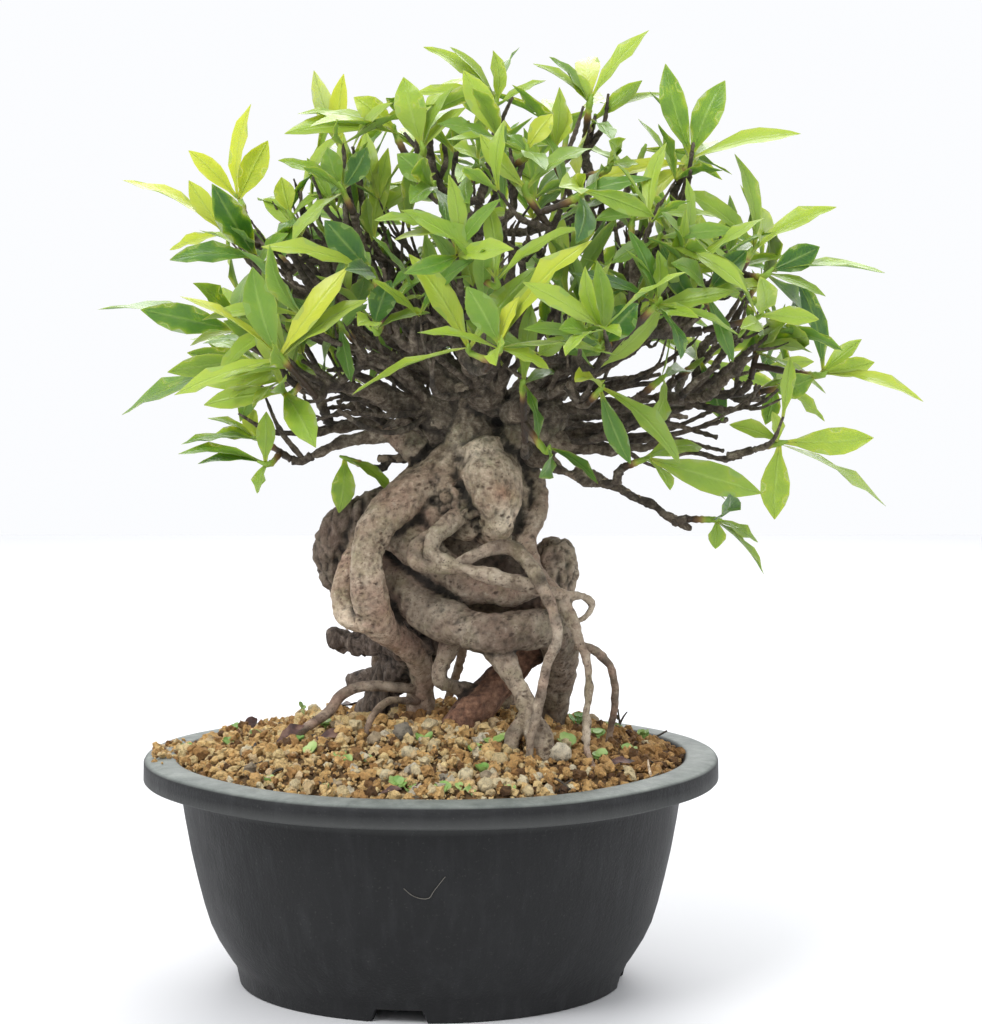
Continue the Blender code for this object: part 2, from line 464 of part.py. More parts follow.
def wall_radius(z):
    """Outer radius of the pot's wall at height z."""
    heights, radii = zip((0.0, FOOT_RADIUS), *WALL_CURVE)
    return float(np.interp(z, heights, radii))


def make_pot(finish):
    """Turned shell with a flat rim, a stepped foot, four notches in the foot ring and drain holes."""
    floor = FLOOR_UNDER + FLOOR_THICK
    lip = POT_HEIGHT - RIM_LIP
    profile = [(0, floor), (wall_radius(floor) - WALL - 3, floor)]
    profile += [(r - WALL, z) for z, r in WALL_CURVE[2::2]]
    profile += [(74.9, lip), (77.6, POT_HEIGHT), (RIM_RADIUS - 0.8, POT_HEIGHT), (RIM_RADIUS, POT_HEIGHT - 1.0),
                (RIM_RADIUS, lip + 0.3), (RIM_RADIUS - 0.8, lip), (79.5, lip)]
    profile += [(r, z) for z, r in reversed(WALL_CURVE)]
    profile += [(FOOT_RADIUS, 0), (FOOT_RADIUS - FOOT_RING, 0), (FOOT_RADIUS - FOOT_RING - 0.6, FLOOR_UNDER),
                (PAD_RADIUS + 1, FLOOR_UNDER), (PAD_RADIUS, 0), (0, 0)]
    pot = mesh_object("pot", turned(profile, POT_SIDES), finish, 35)
    solids = []
    ring = FOOT_RADIUS - FOOT_RING / 2
    for turn in NOTCH_TURNS:
        spot = (ring * math.cos(math.radians(turn)), ring * math.sin(math.radians(turn)), NOTCH_HEIGHT / 2 - 1)
        solids.append(box(spot, (FOOT_RING * 2.6, NOTCH_WIDTH, NOTCH_HEIGHT + 2), turn))
    for number in range(DRAINS):
        turn = 2 * math.pi * (number + 0.4) / DRAINS
        x, y = DRAIN_CIRCLE * math.cos(turn), DRAIN_CIRCLE * math.sin(turn)
        solids.append(tube(((x, y, FLOOR_UNDER - 2, DRAIN_RADIUS), (x, y, floor + 2, DRAIN_RADIUS)), 12))
    cut(pot, cutter_collection("pot_cutter", solids, finish))
    return pot


def soil_height(x, y):
    """Height of the mound, without its grains."""
    spread = (x * x + y * y) / (SOIL_RADIUS * SOIL_RADIUS)
    return SOIL_EDGE + SOIL_CROWN * (1 - spread)


def make_soil(finish):
    """Mound of granules that fills the pot, with a snug hole for each root that goes into it."""
    rng = random.Random(11)
    floor = FLOOR_UNDER + FLOOR_THICK + GAP
    turns = 2 * np.pi * np.arange(SOIL_SIDES) / SOIL_SIDES
    points = [(0.0, 0.0, soil_height(0, 0) + 0.5)]
    for ring in range(1, SOIL_RINGS + 1):
        radius = SOIL_RADIUS * (ring / SOIL_RINGS) ** 0.8
        for turn in turns + (ring % 2) * math.pi / SOIL_SIDES:
            x, y = radius * math.cos(turn), radius * math.sin(turn)
            lift = rng.uniform(-1, 1) * GRAIN_HEIGHT if ring < SOIL_RINGS else -0.6
            points.append((x, y, soil_height(x, y) + lift))
    last_turns = turns + (SOIL_RINGS % 2) * math.pi / SOIL_SIDES
    side_heights = (62.9, 17.5, floor)
    for z in side_heights:
        inside = (wall_radius(z) - WALL - GAP - 0.5) if z > floor else wall_radius(floor) - WALL - 3.6
        points += [(inside * math.cos(turn), inside * math.sin(turn), z) for turn in last_turns]
    points.append((0.0, 0.0, floor))
    faces = [(0, 1 + k, 1 + (k + 1) % SOIL_SIDES) for k in range(SOIL_SIDES)]
    rows = SOIL_RINGS + len(side_heights)
    for row in range(rows - 1):
        shift = (row + 1) % 2 if row + 1 < SOIL_RINGS else None
        for k in range(SOIL_SIDES):
            n = (k + 1) % SOIL_SIDES
            a, b = 1 + row * SOIL_SIDES + k, 1 + row * SOIL_SIDES + n
            c, d = a + SOIL_SIDES, b + SOIL_SIDES
            if shift == 0:
                faces += [(a, c, b), (b, c, d)]
            elif shift == 1:
                faces += [(a, d, b), (a, c, d)]
            else:
                faces += [(a, c, d, b)]
    bottom = 1 + (rows - 1) * SOIL_SIDES
    faces += [(len(points) - 1, bottom + (k + 1) % SOIL_SIDES, bottom + k) for k in range(SOIL_SIDES)]
    soil = mesh_object("soil", (np.array(points), faces), finish)
    sleeves = []
    for name in SUNK:
        sides, route = ROOTS[name]
        rows = np.array(route, dtype=float)
        rows[:, 3] += ROOT_ROOM
        end = unit(rows[-1, :3] - rows[-2, :3])
        rows[-1, :3] += end * ROOT_ROOM
        sleeves.append(tube(rows, sides))
    cut(soil, cutter_collection("soil_cutter", sleeves, finish))
    return soil


def canopy_axis(base):
    """Direction in which a shoot at base grows: out from the canopy's middle and a little up."""
    return unit(base - CANOPY_CENTRE + np.array((0.0, 0.0, 26.0)))


def list_shoots():
    """Base, axis and front leaves of each shoot: those seen from the front, then a dome behind."""
    shoots = []
    for (x, y, z), leaves in FRONT_SHOOTS:
        base = from_front(x, y, z)
        shoots.append({"base": base, "axis": canopy_axis(base), "leaves": leaves})
    rng = random.Random(5)
    for number in range(BACK_SHOOTS):
        height = (number + 0.5) / BACK_SHOOTS
        turn = math.pi * ((number * 0.618034) % 1.0)
        z = 180 + 80 * height + rng.uniform(-3, 3)
        spread = math.sqrt(max(0.04, 1 - (max(z, 169) - 169) ** 2 / 98 ** 2)) * rng.uniform(0.9, 1.04)
        base = np.array((22 + 86 * spread * math.cos(turn), 6 + 72 * spread * math.sin(turn), z))
        shoots.append({"base": base, "axis": canopy_axis(base), "leaves": ()})
    return shoots


def share_sprays(shoots):
    """Sprays of one or two shoots: the pairs that stand closest share a forked spray."""
    singles = list(range(len(shoots)))
    pairs = []
    gaps = sorted((float(np.linalg.norm(shoots[a]["base"] - shoots[b]["base"])), a, b)
                  for a in singles for b in singles if a < b)
    for _, a, b in gaps:
        if len(singles) + len(pairs) <= MAX_SPRAYS:
            break
        if a in singles and b in singles:
            singles.remove(a)
            singles.remove(b)
            pairs.append((a, b))
    return sorted(pairs + [(single,) for single in singles])


def spray_stems(members):
    """Start, direction and tube routes of a spray's green stems, from where its twig ends.

    The first stem runs from the start to its bud, and a second one forks off inside it.
    """
    axis = unit(sum(shoot["axis"] for shoot in members))
    middle = sum(shoot["base"] for shoot in members) / len(members)
    spread = max(float(np.linalg.norm(shoot["base"] - middle)) for shoot in members)
    start = middle - axis * max(STUB_LENGTH, 0.9 * spread + 3.0)
    first = members[0]["base"]
    fork = start + (first - start) * FORK_PLACE
    routes = []
    for foot, shoot in zip((start, fork), members):
        bud = shoot["base"] + shoot["axis"] * BUD_LENGTH
        routes.append(((*foot, STUB_RADIUS), (*shoot["base"], STUB_RADIUS), (*bud, 0.5)))
    return start, unit(first - start), routes


def hull(solid):
    """Search tree of a solid, for tests of what crosses what."""
    points, faces = solid
    return BVHTree.FromPolygons([Vector(point) for point in points], [tuple(face) for face in faces])


def grow_twigs(starts):
    """Twigs from the limbs to each spray: the nearest wood that lies behind it carries it."""
    nodes = []
    for limb in LIMBS:
        rows = np.array(limb, dtype=float)
        for a, b in zip(rows[:-1], rows[1:]):
            count = max(2, int(np.linalg.norm(b[:3] - a[:3]) / 4))
            nodes += [a + (b - a) * step / count for step in range(count)]
        nodes.append(rows[-1] + (rows[-2] - rows[-1]) * 0.1)
    trunk = np.array((14.0, 0.0, 173.0))
    rng = random.Random(21)
    twigs = []
    order = sorted(range(len(starts)), key=lambda k: float(np.linalg.norm(starts[k][0] - trunk)))
    for k in order:
        end, grow = starts[k]
        end = end - grow * TWIG_GAP
        best, best_cost = None, 1e9
        for node in nodes:
            reach = end - node[:3]
            length = float(np.linalg.norm(reach))
            if length < 5 or reach.dot(grow) < 0.25 * length:
                continue
            cost = length + 0.25 * float(np.linalg.norm(node[:3] - trunk)) * (length > 12)
            if cost < best_cost:
                best, best_cost = node, cost
        length = float(np.linalg.norm(end - best[:3]))
        bend = end - grow * 0.45 * length
        rows = []
        thick = min(best[3] * 0.85, STUB_RADIUS + 0.012 * length + 0.1)
        for step in (0.0, 0.5, 1.0):
            point = best[:3] * (1 - step) ** 2 + bend * 2 * step * (1 - step) + end * step ** 2
            if 0 < step < 0.7:
                point = point + np.array([rng.uniform(-1, 1) for _ in range(3)]) * 0.03 * length
            radius = thick + (STUB_RADIUS - thick) * step
            rows.append(np.array((*point, radius)))
        nodes += rows[1:2]
        twigs.append(tuple(tuple(row) for row in rows))
    return twigs


def blade(base, tip, face, width, fat=0.0, first=0):
    """Leaf from base to tip: arched midrib, flat upper side that looks to face, rib below.

    With fat above zero it is the room that the leaf needs, so much larger all round, and with
    first at 1 it is only the part beyond the leaf's narrow foot.
    """
    chord = tip - base
    length = float(np.linalg.norm(chord))
    along = chord / length
    up = unit(face - along * face.dot(along))
    across = np.cross(along, up)
    arch = 0.07 * length
    stations = ((0.0, 0.05), (0.38, 0.4), (0.72, 0.47))[first:]
    points = []
    for step, half in stations:
        middle = base + chord * step + up * (arch * 4 * step * (1 - step))
        half_width = max(half * width, 0.6) + fat
        depth = RIB_DEPTH + fat
        points += [middle - across * half_width + up * fat, middle + across * half_width + up * fat,
                   middle - up * depth]
    points.append(tip + along * fat)
    faces = [(0, 1, 2)]
    for row in range(len(stations) - 1):
        for k in range(3):
            a, b = row * 3 + k, row * 3 + (k + 1) % 3
            faces += [(a, b, b + 3), (a, b + 3, a + 3)] if k else [(a, b, a + 3), (b, b + 3, a + 3)]
    last = (len(stations) - 1) * 3
    faces += [(last + k, last + (k + 1) % 3, len(points) - 1) for k in range(3)]
    return np.array(points), faces


def leaf_foot(shoot, number):
    """Where leaf number leaves its bud: each a little lower than the one before."""
    return shoot["base"] + shoot["axis"] * (FIRST_LEAF - LEAF_STEP * number)


def front_leaf(shoot, number, shift):
    """Base, tip, facing and width of a leaf that the front shows, its tip moved back by shift."""
    x, z, lean, shown = shoot["leaves"][number]
    base = leaf_foot(shoot, number)
    flat = from_front(x, base[1], z) - base
    reach = float(np.linalg.norm(flat))
    depth = lean * math.sqrt(max(0.0, LEAF_LENGTH ** 2 - reach ** 2)) * 0.9 + shift
    tip = from_front(x, base[1] + depth, z)
    length = float(np.linalg.norm(tip - base))
    width = max(shown, min(LEAF_MAX_WIDTH, max(LEAF_MIN_WIDTH, 0.26 * length)))
    along = unit(tip - base)
    to_eye = unit(EYE - tip)
    to_eye = unit(to_eye - along * to_eye.dot(along))
    side = np.cross(along, to_eye)
    if side.dot(shoot["axis"] + np.array((0, 0, 0.6))) < 0:
        side = -side
    open_share = min(1.0, shown / width)
    face = to_eye * open_share + side * math.sqrt(max(0.0, 1 - open_share ** 2))
    return base, tip, face, width


def rule_leaf(shoot, number, turn, rng):
    """Base, tip, facing and width of a leaf by rule: a golden-angle spiral round the axis."""
    axis = shoot["axis"]
    side = unit(np.cross(axis, np.array((0.31, 0.17, 0.93))))
    other = np.cross(axis, side)
    spin = (number + turn) * 2.39996 + rng.uniform(-0.5, 0.5)
    lean = math.radians(rng.uniform(38, 82))
    out = math.cos(spin) * side + math.sin(spin) * other
    along = unit(math.cos(lean) * axis + math.sin(lean) * out - np.array((0, 0, rng.uniform(0.0, 0.25))))
    length = rng.uniform(25, 36)
    face = unit(axis + 0.35 * np.array([rng.uniform(-1, 1) for _ in range(3)]))
    base = leaf_foot(shoot, number)
    return base, base + along * length, face, length * rng.uniform(0.25, 0.31)


def in_crown(point):
    """True where a point shows inside the crown's outline from the front."""
    scale = -EYE[1] / (point[1] - EYE[1])
    x, z = EYE[0] + (point[0] - EYE[0]) * scale, EYE[2] + (point[2] - EYE[2]) * scale
    inside = False
    for (ax, az), (bx, bz) in zip(CROWN_OUTLINE, CROWN_OUTLINE[1:] + CROWN_OUTLINE[:1]):
        if (az > z) != (bz > z) and x < ax + (bx - ax) * (z - az) / (bz - az):
            inside = not inside
    return inside


def grow_leaves(shoots, sprays, stems, tree):
    """Leaves of each spray: clear of the wood and the other sprays, and of their own where it can be."""
    spray_of = {member: number for number, spray in enumerate(sprays) for member in spray}
    placed = [(number, hull(tube(route, STEM_SIDES)), None) for number, (_, _, routes) in enumerate(stems)
              for route in routes]
    corners = [point.co / MM for point in tree.data.vertices]
    placed.append((None, hull((corners, [face.vertices for face in tree.data.polygons])), None))
    leaves = [[] for _ in sprays]

    def settle(member, candidates):
        own = spray_of[member]
        spare = None
        for candidate in candidates:
            room = hull(blade(*candidate, LEAF_ROOM))
            if any(number != own and room.overlap(other) for number, other, _ in placed):
                continue
            room = hull(blade(*candidate, LEAF_ROOM, 1))
            if any(number == own and outer and room.overlap(outer) for number, _, outer in placed):
                spare = spare or candidate
                continue
            break
        else:
            candidate = spare
        if candidate is None:
            return False
        placed.append((own, hull(blade(*candidate)), hull(blade(*candidate, 0.0, 1))))
        leaves[own].append(blade(*candidate))
        return True

    missed = 0
    for member, shoot in enumerate(shoots):
        for number in range(len(shoot["leaves"])):
            shifts = (0, -4, 4, -8, 8, -12, 12, -16, 16, -20, 20)
            missed += not settle(member, [front_leaf(shoot, number, shift) for shift in shifts])
    for member, shoot in enumerate(shoots):
        rng = random.Random(300 + member)
        known = len(shoot["leaves"])
        for number in range(known, BACK_LEAVES if known == 0 else FRONT_LEAVES):
            tries = [rule_leaf(shoot, number, 0.5 * attempt, rng) for attempt in range(12)]
            settle(member, [leaf for leaf in tries if in_crown(leaf[1]) and in_crown((leaf[0] + leaf[1]) / 2)])
    print("front leaves without room:", missed, "leaves:", sum(len(spray) for spray in leaves))
    return leaves


def main():
    for old in list(bpy.data.objects):
        bpy.data.objects.remove(old, do_unlink=True)
    black_plastic = material("black plastic", (0.030, 0.033, 0.037), 0.55)
    granules = material("granules", (0.42, 0.26, 0.13), 0.95)
    bark = material("bark", (0.24, 0.18, 0.13), 0.85)
    leaf_green = material("leaf green", (0.16, 0.34, 0.05), 0.35)

    make_pot(black_plastic)
    make_soil(granules)

    shoots = list_shoots()
    sprays = share_sprays(shoots)
    stems = [spray_stems([shoots[member] for member in spray]) for spray in sprays]
    twigs = grow_twigs([(start, axis) for start, axis, _ in stems])
    wood = [tube(route, sides) for sides, route in ROOTS.values()]
    wood += [tube(limb, LIMB_SIDES) for limb in LIMBS]
    wood += [tube(twig, TWIG_SIDES) for twig in twigs]
    tree = fuse("tree", wood, bark, WOOD_SHARE, 50)
    leaves = grow_leaves(shoots, sprays, stems, tree)
    for number, (spray, (_, _, routes)) in enumerate(zip(leaves, stems)):
        solids = [tube(route, STEM_SIDES) for route in routes] + spray
        fuse(f"spray_{number:02d}", solids, leaf_green, SPRAY_SHARE)


main()
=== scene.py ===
"""Looks of a gardenia shohin bonsai in its round training pot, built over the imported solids.

Tables and shapes are in millimetres in the frame of the solids: the pot's foot is at the origin,
+Z is up and the tree's front looks along -Y. A mesh is scaled to metres when its piece is made.
"""

import math
import random

import bpy
import numpy as np
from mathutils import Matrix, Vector
from mathutils.bvhtree import BVHTree


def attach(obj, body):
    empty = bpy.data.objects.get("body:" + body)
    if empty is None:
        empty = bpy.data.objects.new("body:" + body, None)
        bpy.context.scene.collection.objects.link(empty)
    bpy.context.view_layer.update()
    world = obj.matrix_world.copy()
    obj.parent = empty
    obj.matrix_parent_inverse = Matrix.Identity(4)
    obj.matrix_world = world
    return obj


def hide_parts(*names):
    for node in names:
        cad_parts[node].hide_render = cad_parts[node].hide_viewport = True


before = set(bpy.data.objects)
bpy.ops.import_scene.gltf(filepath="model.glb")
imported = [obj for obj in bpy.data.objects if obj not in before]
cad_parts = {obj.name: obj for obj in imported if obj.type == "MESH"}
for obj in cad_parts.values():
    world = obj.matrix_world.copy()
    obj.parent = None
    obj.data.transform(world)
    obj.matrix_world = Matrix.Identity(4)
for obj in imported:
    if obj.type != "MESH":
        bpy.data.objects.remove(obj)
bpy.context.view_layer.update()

# Camera: a long lens nearly a metre in front of the pot, a little above the crown's middle and
# looking slightly down, as a tree is pictured on its stand.
MM = 0.001
EYE = np.array((18.4, -970.0, 232.6))
LOOK_AT = np.array((18.4, 0.0, 144.3))
FOCAL_PIXELS = 3190.0
PICTURE_WIDTH = 982.0
SENSOR_WIDTH = 36.0

lens = bpy.data.cameras.new("camera")
lens.sensor_fit = "HORIZONTAL"
lens.sensor_width = SENSOR_WIDTH
lens.lens = SENSOR_WIDTH * FOCAL_PIXELS / PICTURE_WIDTH
lens.clip_start = 0.05
lens.clip_end = 20.0
camera = bpy.data.objects.new("camera", lens)
camera.location = Vector(EYE * MM)
camera.rotation_euler = Vector((LOOK_AT - EYE) * MM).to_track_quat("-Z", "Y").to_euler()
bpy.context.scene.collection.objects.link(camera)
bpy.context.scene.camera = camera
bpy.context.scene.view_settings.view_transform = "Standard"


# Light: a large soft box above and to the left, a weaker one at the right, one behind that shines
# through the crown, and a pale surround, over a plain pale floor.
SURROUND = (0.97, 0.98, 1.0, 1.0)
FLOOR_HALF = 1.4
FLOOR_GREY = (0.74, 0.745, 0.76, 1.0)


def soft_box(name, place, aim, side, watts):
    """Square area light at place that faces aim, with both and its side in metres."""
    light = bpy.data.lights.new(name, "AREA")
    light.shape = "SQUARE"
    light.size = side
    light.energy = watts
    box = bpy.data.objects.new(name, light)
    box.location = Vector(place)
    box.rotation_euler = (Vector(aim) - Vector(place)).to_track_quat("-Z", "Y").to_euler()
    bpy.context.scene.collection.objects.link(box)


soft_box("key", (-0.65, -0.9, 1.3), (0.0, 0.0, 0.15), 0.7, 15.0)
soft_box("fill", (1.1, -0.8, 0.55), (0.0, 0.0, 0.15), 1.0, 3.0)
soft_box("back", (0.1, 1.0, 0.95), (0.0, 0.0, 0.18), 0.9, 9.0)

world = bpy.data.worlds.new("surround")
world.use_nodes = True
world.node_tree.nodes["Background"].inputs["Color"].default_value = SURROUND
world.node_tree.nodes["Background"].inputs["Strength"].default_value = 1.0
bpy.context.scene.world = world

floor_mesh = bpy.data.meshes.new("floor")
corners = ((-1, -1), (1, -1), (1, 1), (-1, 1))
floor_mesh.from_pydata([(x * FLOOR_HALF, y * FLOOR_HALF, 0) for x, y in corners], [], [(0, 1, 2, 3)])
floor = bpy.data.objects.new("floor", floor_mesh)
bpy.context.scene.collection.objects.link(floor)
floor_finish = bpy.data.materials.new("pale floor")
floor_finish.use_nodes = True
floor_shader = floor_finish.node_tree.nodes["Principled BSDF"]
floor_shader.inputs["Base Color"].default_value = FLOOR_GREY
floor_shader.inputs["Roughness"].default_value = 0.6
floor_mesh.materials.append(floor_finish)


# Pot: one injection moulding of matt charcoal polypropylene, with a flat rim, a rounded wall, a
# stepped foot with drain notches, and years of dust, streaks and scuffs on it. It stands free.
POT_TURNS = 216
# Notches of the foot ring: the degrees that they are at, half their width in degrees, the radius that
# they cut from, and their top
NOTCH_TURNS = (261.0, 351.0, 81.0, 171.0)
NOTCH_HALF = 7.4
NOTCH_FROM = 54.2
NOTCH_TOP = 4.0
# Radius and height along the pot's profile, from the middle of the foot out and up to the rim, and down
# inside, where the wall is about 2.3 mm further in. The first points of the outside are foot and wall.
POT_UNDER = ((0.01, 0.0), (11.9, 0.0), (12.6, 0.4), (13.0, 5.6), (13.6, 6.0), (53.4, 6.0), (54.4, 5.6),
             (55.0, 0.5))
POT_OUTSIDE = (
    (55.8, 0.0), (58.4, 0.0), (59.1, 0.5), (59.4, 2.0), (60.0, 5.0), (60.7, 6.6), (62.0, 8.4), (63.3, 10.4),
    (65.8, 14.5), (68.0, 19.2), (69.8, 25.0), (71.9, 33.4), (73.7, 41.5), (75.4, 51.0), (77.0, 61.2),
    (77.4, 62.2), (78.2, 62.8), (86.7, 62.8), (87.6, 62.8), (88.0, 63.2), (88.0, 63.8), (87.9, 67.8),
    (87.9, 68.3), (87.6, 68.9), (86.6, 69.4), (82.5, 69.9), (79.0, 70.0), (78.2, 69.7), (77.6, 68.9),
    (76.6, 66.0), (75.4, 61.0), (74.6, 57.0))
WALL_POINTS = 15
POT_INSIDE = ((72.9, 50.0), (71.2, 41.5), (67.4, 25.0), (63.4, 14.5), (59.5, 9.2), (52.0, 8.5), (0.01, 8.5))


def piece_from(name, points, faces, finish, smooth=True, sharp=None):
    """Piece in metres from millimetre points, with faces as lists of point numbers."""
    mesh = bpy.data.meshes.new(name)
    mesh.from_pydata((np.asarray(points) * MM).tolist(), [], faces)
    mesh.materials.append(finish)
    if smooth:
        mesh.shade_smooth()
    if sharp is not None:
        mesh.set_sharp_from_angle(angle=math.radians(sharp))
    made = bpy.data.objects.new(name, mesh)
    bpy.context.scene.collection.objects.link(made)
    return made


def grid_faces(rows, columns, closed):
    """Quads between neighbours of a grid of points, its columns closed to a ring or not."""
    numbers = np.arange(rows * columns).reshape(rows, columns)
    right = np.roll(numbers, -1, axis=1) if closed else numbers[:, 1:]
    left = numbers if closed else numbers[:, :-1]
    quads = np.stack((left[:-1], right[:-1], right[1:], left[1:]), axis=-1)
    return quads.reshape(-1, 4)


def ripple(points, wave, seed, waves=18):
    """Random smooth field of about unit size: a sum of cosines of this wavelength in many directions."""
    rng = np.random.default_rng(seed)
    ways = rng.normal(size=(waves, 3))
    ways *= 2 * np.pi / wave / np.linalg.norm(ways, axis=1)[:, None] * rng.uniform(0.6, 1.4, (waves, 1))
    return np.cos(points @ ways.T + rng.uniform(0, 2 * np.pi, waves)).sum(axis=1) / math.sqrt(waves / 2)


def principled(name, roughness):
    """New material, its node tree and shader, and the Object coordinates of its patterns."""
    made = bpy.data.materials.new(name)
    made.use_nodes = True
    tree = made.node_tree
    shader = tree.nodes["Principled BSDF"]
    shader.inputs["Roughness"].default_value = roughness
    return made, tree, shader, tree.nodes.new("ShaderNodeTexCoord").outputs["Object"]


def noise_at(tree, where, scale, detail=4.0, roughness=0.55, distortion=0.0):
    """Noise texture read at a vector socket, its scale in cycles a metre."""
    noise = tree.nodes.new("ShaderNodeTexNoise")
    levels = {"Scale": scale, "Detail": detail, "Roughness": roughness, "Distortion": distortion}
    for name, level in levels.items():
        noise.inputs[name].default_value = level
    tree.links.new(where, noise.inputs["Vector"])
    return noise.outputs["Fac"]


def ramp_of(tree, value, *stops):
    """Colour ramp of a value, from stops of place and linear colour."""
    ramp = tree.nodes.new("ShaderNodeValToRGB")
    while len(ramp.color_ramp.elements) < len(stops):
        ramp.color_ramp.elements.new(0.5)
    for element, (place, colour) in zip(ramp.color_ramp.elements, stops):
        element.position = place
        element.color = (*colour, 1.0)
    tree.links.new(value, ramp.inputs["Fac"])
    return ramp.outputs["Color"]


def grey_of(tree, value, *stops):
    """Ramp from a value to greys, from stops of place and level."""
    return ramp_of(tree, value, *[(place, (level, level, level)) for place, level in stops])


def mixed(tree, share, first, second, blend="MIX"):
    """Mix of two colours; each is a socket or a linear colour, and share is a socket or a number."""
    mix = tree.nodes.new("ShaderNodeMix")
    mix.data_type = "RGBA"
    mix.blend_type = blend
    for slot, source in ((0, share), (6, first), (7, second)):
        if isinstance(source, (int, float)):
            mix.inputs[slot].default_value = source
        elif isinstance(source, tuple):
            mix.inputs[slot].default_value = (*source, 1.0)
        else:
            tree.links.new(source, mix.inputs[slot])
    return mix.outputs[2]


def reckoned(tree, operation, *sources):
    """Result of a math node on sockets or numbers."""
    worked = tree.nodes.new("ShaderNodeMath")
    worked.operation = operation
    for slot, source in enumerate(sources):
        if isinstance(source, (int, float)):
            worked.inputs[slot].default_value = source
        else:
            tree.links.new(source, worked.inputs[slot])
    return worked.outputs[0]


def parts_of(tree, vector):
    """The three numbers of a vector socket, as sockets X, Y and Z."""
    split = tree.nodes.new("ShaderNodeSeparateXYZ")
    tree.links.new(vector, split.inputs["Vector"])
    return split.outputs


def stretched(tree, where, scale):
    """A vector socket scaled along its three axes."""
    mapping = tree.nodes.new("ShaderNodeMapping")
    mapping.inputs["Scale"].default_value = scale
    tree.links.new(where, mapping.inputs["Vector"])
    return mapping.outputs["Vector"]


def bumped(tree, shader, heights):
    """Bumps on a shader's normal: pairs of height socket and depth in metres."""
    last = None
    for height, depth in heights:
        bump = tree.nodes.new("ShaderNodeBump")
        bump.inputs["Strength"].default_value = 1.0
        bump.inputs["Distance"].default_value = depth
        tree.links.new(height, bump.inputs["Height"])
        if last is not None:
            tree.links.new(last, bump.inputs["Normal"])
        last = bump.outputs["Normal"]
    tree.links.new(last, shader.inputs["Normal"])


def pot_plastic():
    """Charcoal plastic: faint dust in patches, rain streaks down the wall, a painted grey-green sheen of the
    overhead light on whatever faces up, such as the rim, and scuffs and a pale moulding seam along the rim's
    face."""
    made, tree, shader, here = principled("charcoal plastic", 0.5)
    shader.inputs["Specular IOR Level"].default_value = 0.24
    dust = noise_at(tree, here, 22.0, 6.0, 0.6)
    streaks = noise_at(tree, stretched(tree, here, (1.0, 1.0, 0.12)), 240.0, 4.0, 0.6)
    specks = noise_at(tree, here, 1100.0, 3.0, 0.7)
    base = ramp_of(tree, dust, (0.30, (0.0085, 0.0088, 0.0095)), (0.55, (0.0130, 0.0134, 0.0142)),
                   (0.78, (0.021, 0.022, 0.023)))
    lighter = grey_of(tree, streaks, (0.48, 0.0), (0.75, 0.45))
    base = mixed(tree, lighter, base, (0.030, 0.031, 0.033))
    grit = grey_of(tree, specks, (0.62, 0.0), (0.74, 0.4))
    base = mixed(tree, grit, base, (0.075, 0.073, 0.068))
    # Painted highlight: whatever faces up, such as the rim's top, is lightened to a patchy grey-green sheen,
    # as if catching the overhead light.
    facing = parts_of(tree, tree.nodes.new("ShaderNodeNewGeometry").outputs["Normal"])
    upward = grey_of(tree, facing["Z"], (0.55, 0.0), (0.95, 1.0))
    painted_top_sheen = ramp_of(tree, noise_at(tree, here, 120.0, 5.0, 0.65), (0.3, (0.125, 0.142, 0.132)),
                    (0.6, (0.225, 0.246, 0.228)), (0.8, (0.33, 0.345, 0.315)))
    base = mixed(tree, upward, base, painted_top_sheen)
    height = parts_of(tree, here)["Z"]
    seam = grey_of(tree, height, (0.0624, 0.0), (0.0626, 0.8), (0.0631, 0.8), (0.0633, 0.0))
    base = mixed(tree, seam, base, (0.13, 0.135, 0.13))
    smears = noise_at(tree, stretched(tree, here, (0.15, 0.15, 1.0)), 420.0, 4.0, 0.7)
    on_rim = grey_of(tree, height, (0.0632, 0.0), (0.0636, 1.0))
    worn = reckoned(tree, "MULTIPLY", on_rim, grey_of(tree, smears, (0.45, 0.0), (0.70, 0.12)))
    base = mixed(tree, worn, base, (0.072, 0.075, 0.078))
    tree.links.new(base, shader.inputs["Base Color"])
    tree.links.new(grey_of(tree, dust, (0.35, 0.45), (0.7, 0.66)), shader.inputs["Roughness"])
    bumped(tree, shader, ((specks, 0.00022), (streaks, 0.0002), (dust, 0.0006)))
    return made


def turned_pot():
    """Closed shell: the profile of underside, outside and inside carried round Z. Its radius wavers
    twice and five times in a turn by 0.16 % and 0.08 %, and the rim's height twice and seven times by
    0.35 and 0.15 mm. The foot ring is lifted to the top of a notch where one is."""
    profile = np.array(POT_UNDER + POT_OUTSIDE + POT_INSIDE)
    turns = np.linspace(0.0, 2 * np.pi, POT_TURNS, endpoint=False)
    radius = np.repeat(profile[:, :1], POT_TURNS, axis=1)
    height = np.repeat(profile[:, 1:], POT_TURNS, axis=1)
    radius = radius * (1 + 0.0016 * np.cos(2 * turns + 0.7) + 0.0008 * np.cos(5 * turns))
    height = height + np.where(height > 60, 0.35 * np.sin(2 * turns + 1.1) + 0.15 * np.sin(7 * turns), 0.0)
    off_notch = [np.abs((np.degrees(turns) - notch + 180) % 360 - 180) for notch in NOTCH_TURNS]
    in_notch = np.min(off_notch, axis=0) < NOTCH_HALF
    ring = (radius > NOTCH_FROM) & (height < NOTCH_TOP)
    height = np.where(ring & in_notch, NOTCH_TOP, height)
    points = np.stack((radius * np.cos(turns), radius * np.sin(turns), height), axis=-1)
    return points.reshape(-1, 3), grid_faces(len(profile), POT_TURNS, True).tolist()


pot_shell = piece_from("pot_shell", *turned_pot(), pot_plastic(), sharp=42)
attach(pot_shell, "root")
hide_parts("pot")


# Soil: a mound of hard baked-clay granules with pumice, lava and grit between them, poured round the
# roots. The mound itself is the finer dark crumb under the loose granules, which lie on it.
SOIL_EDGE = 67.7
SOIL_CROWN = 12.8
SOIL_RADIUS = 77.3
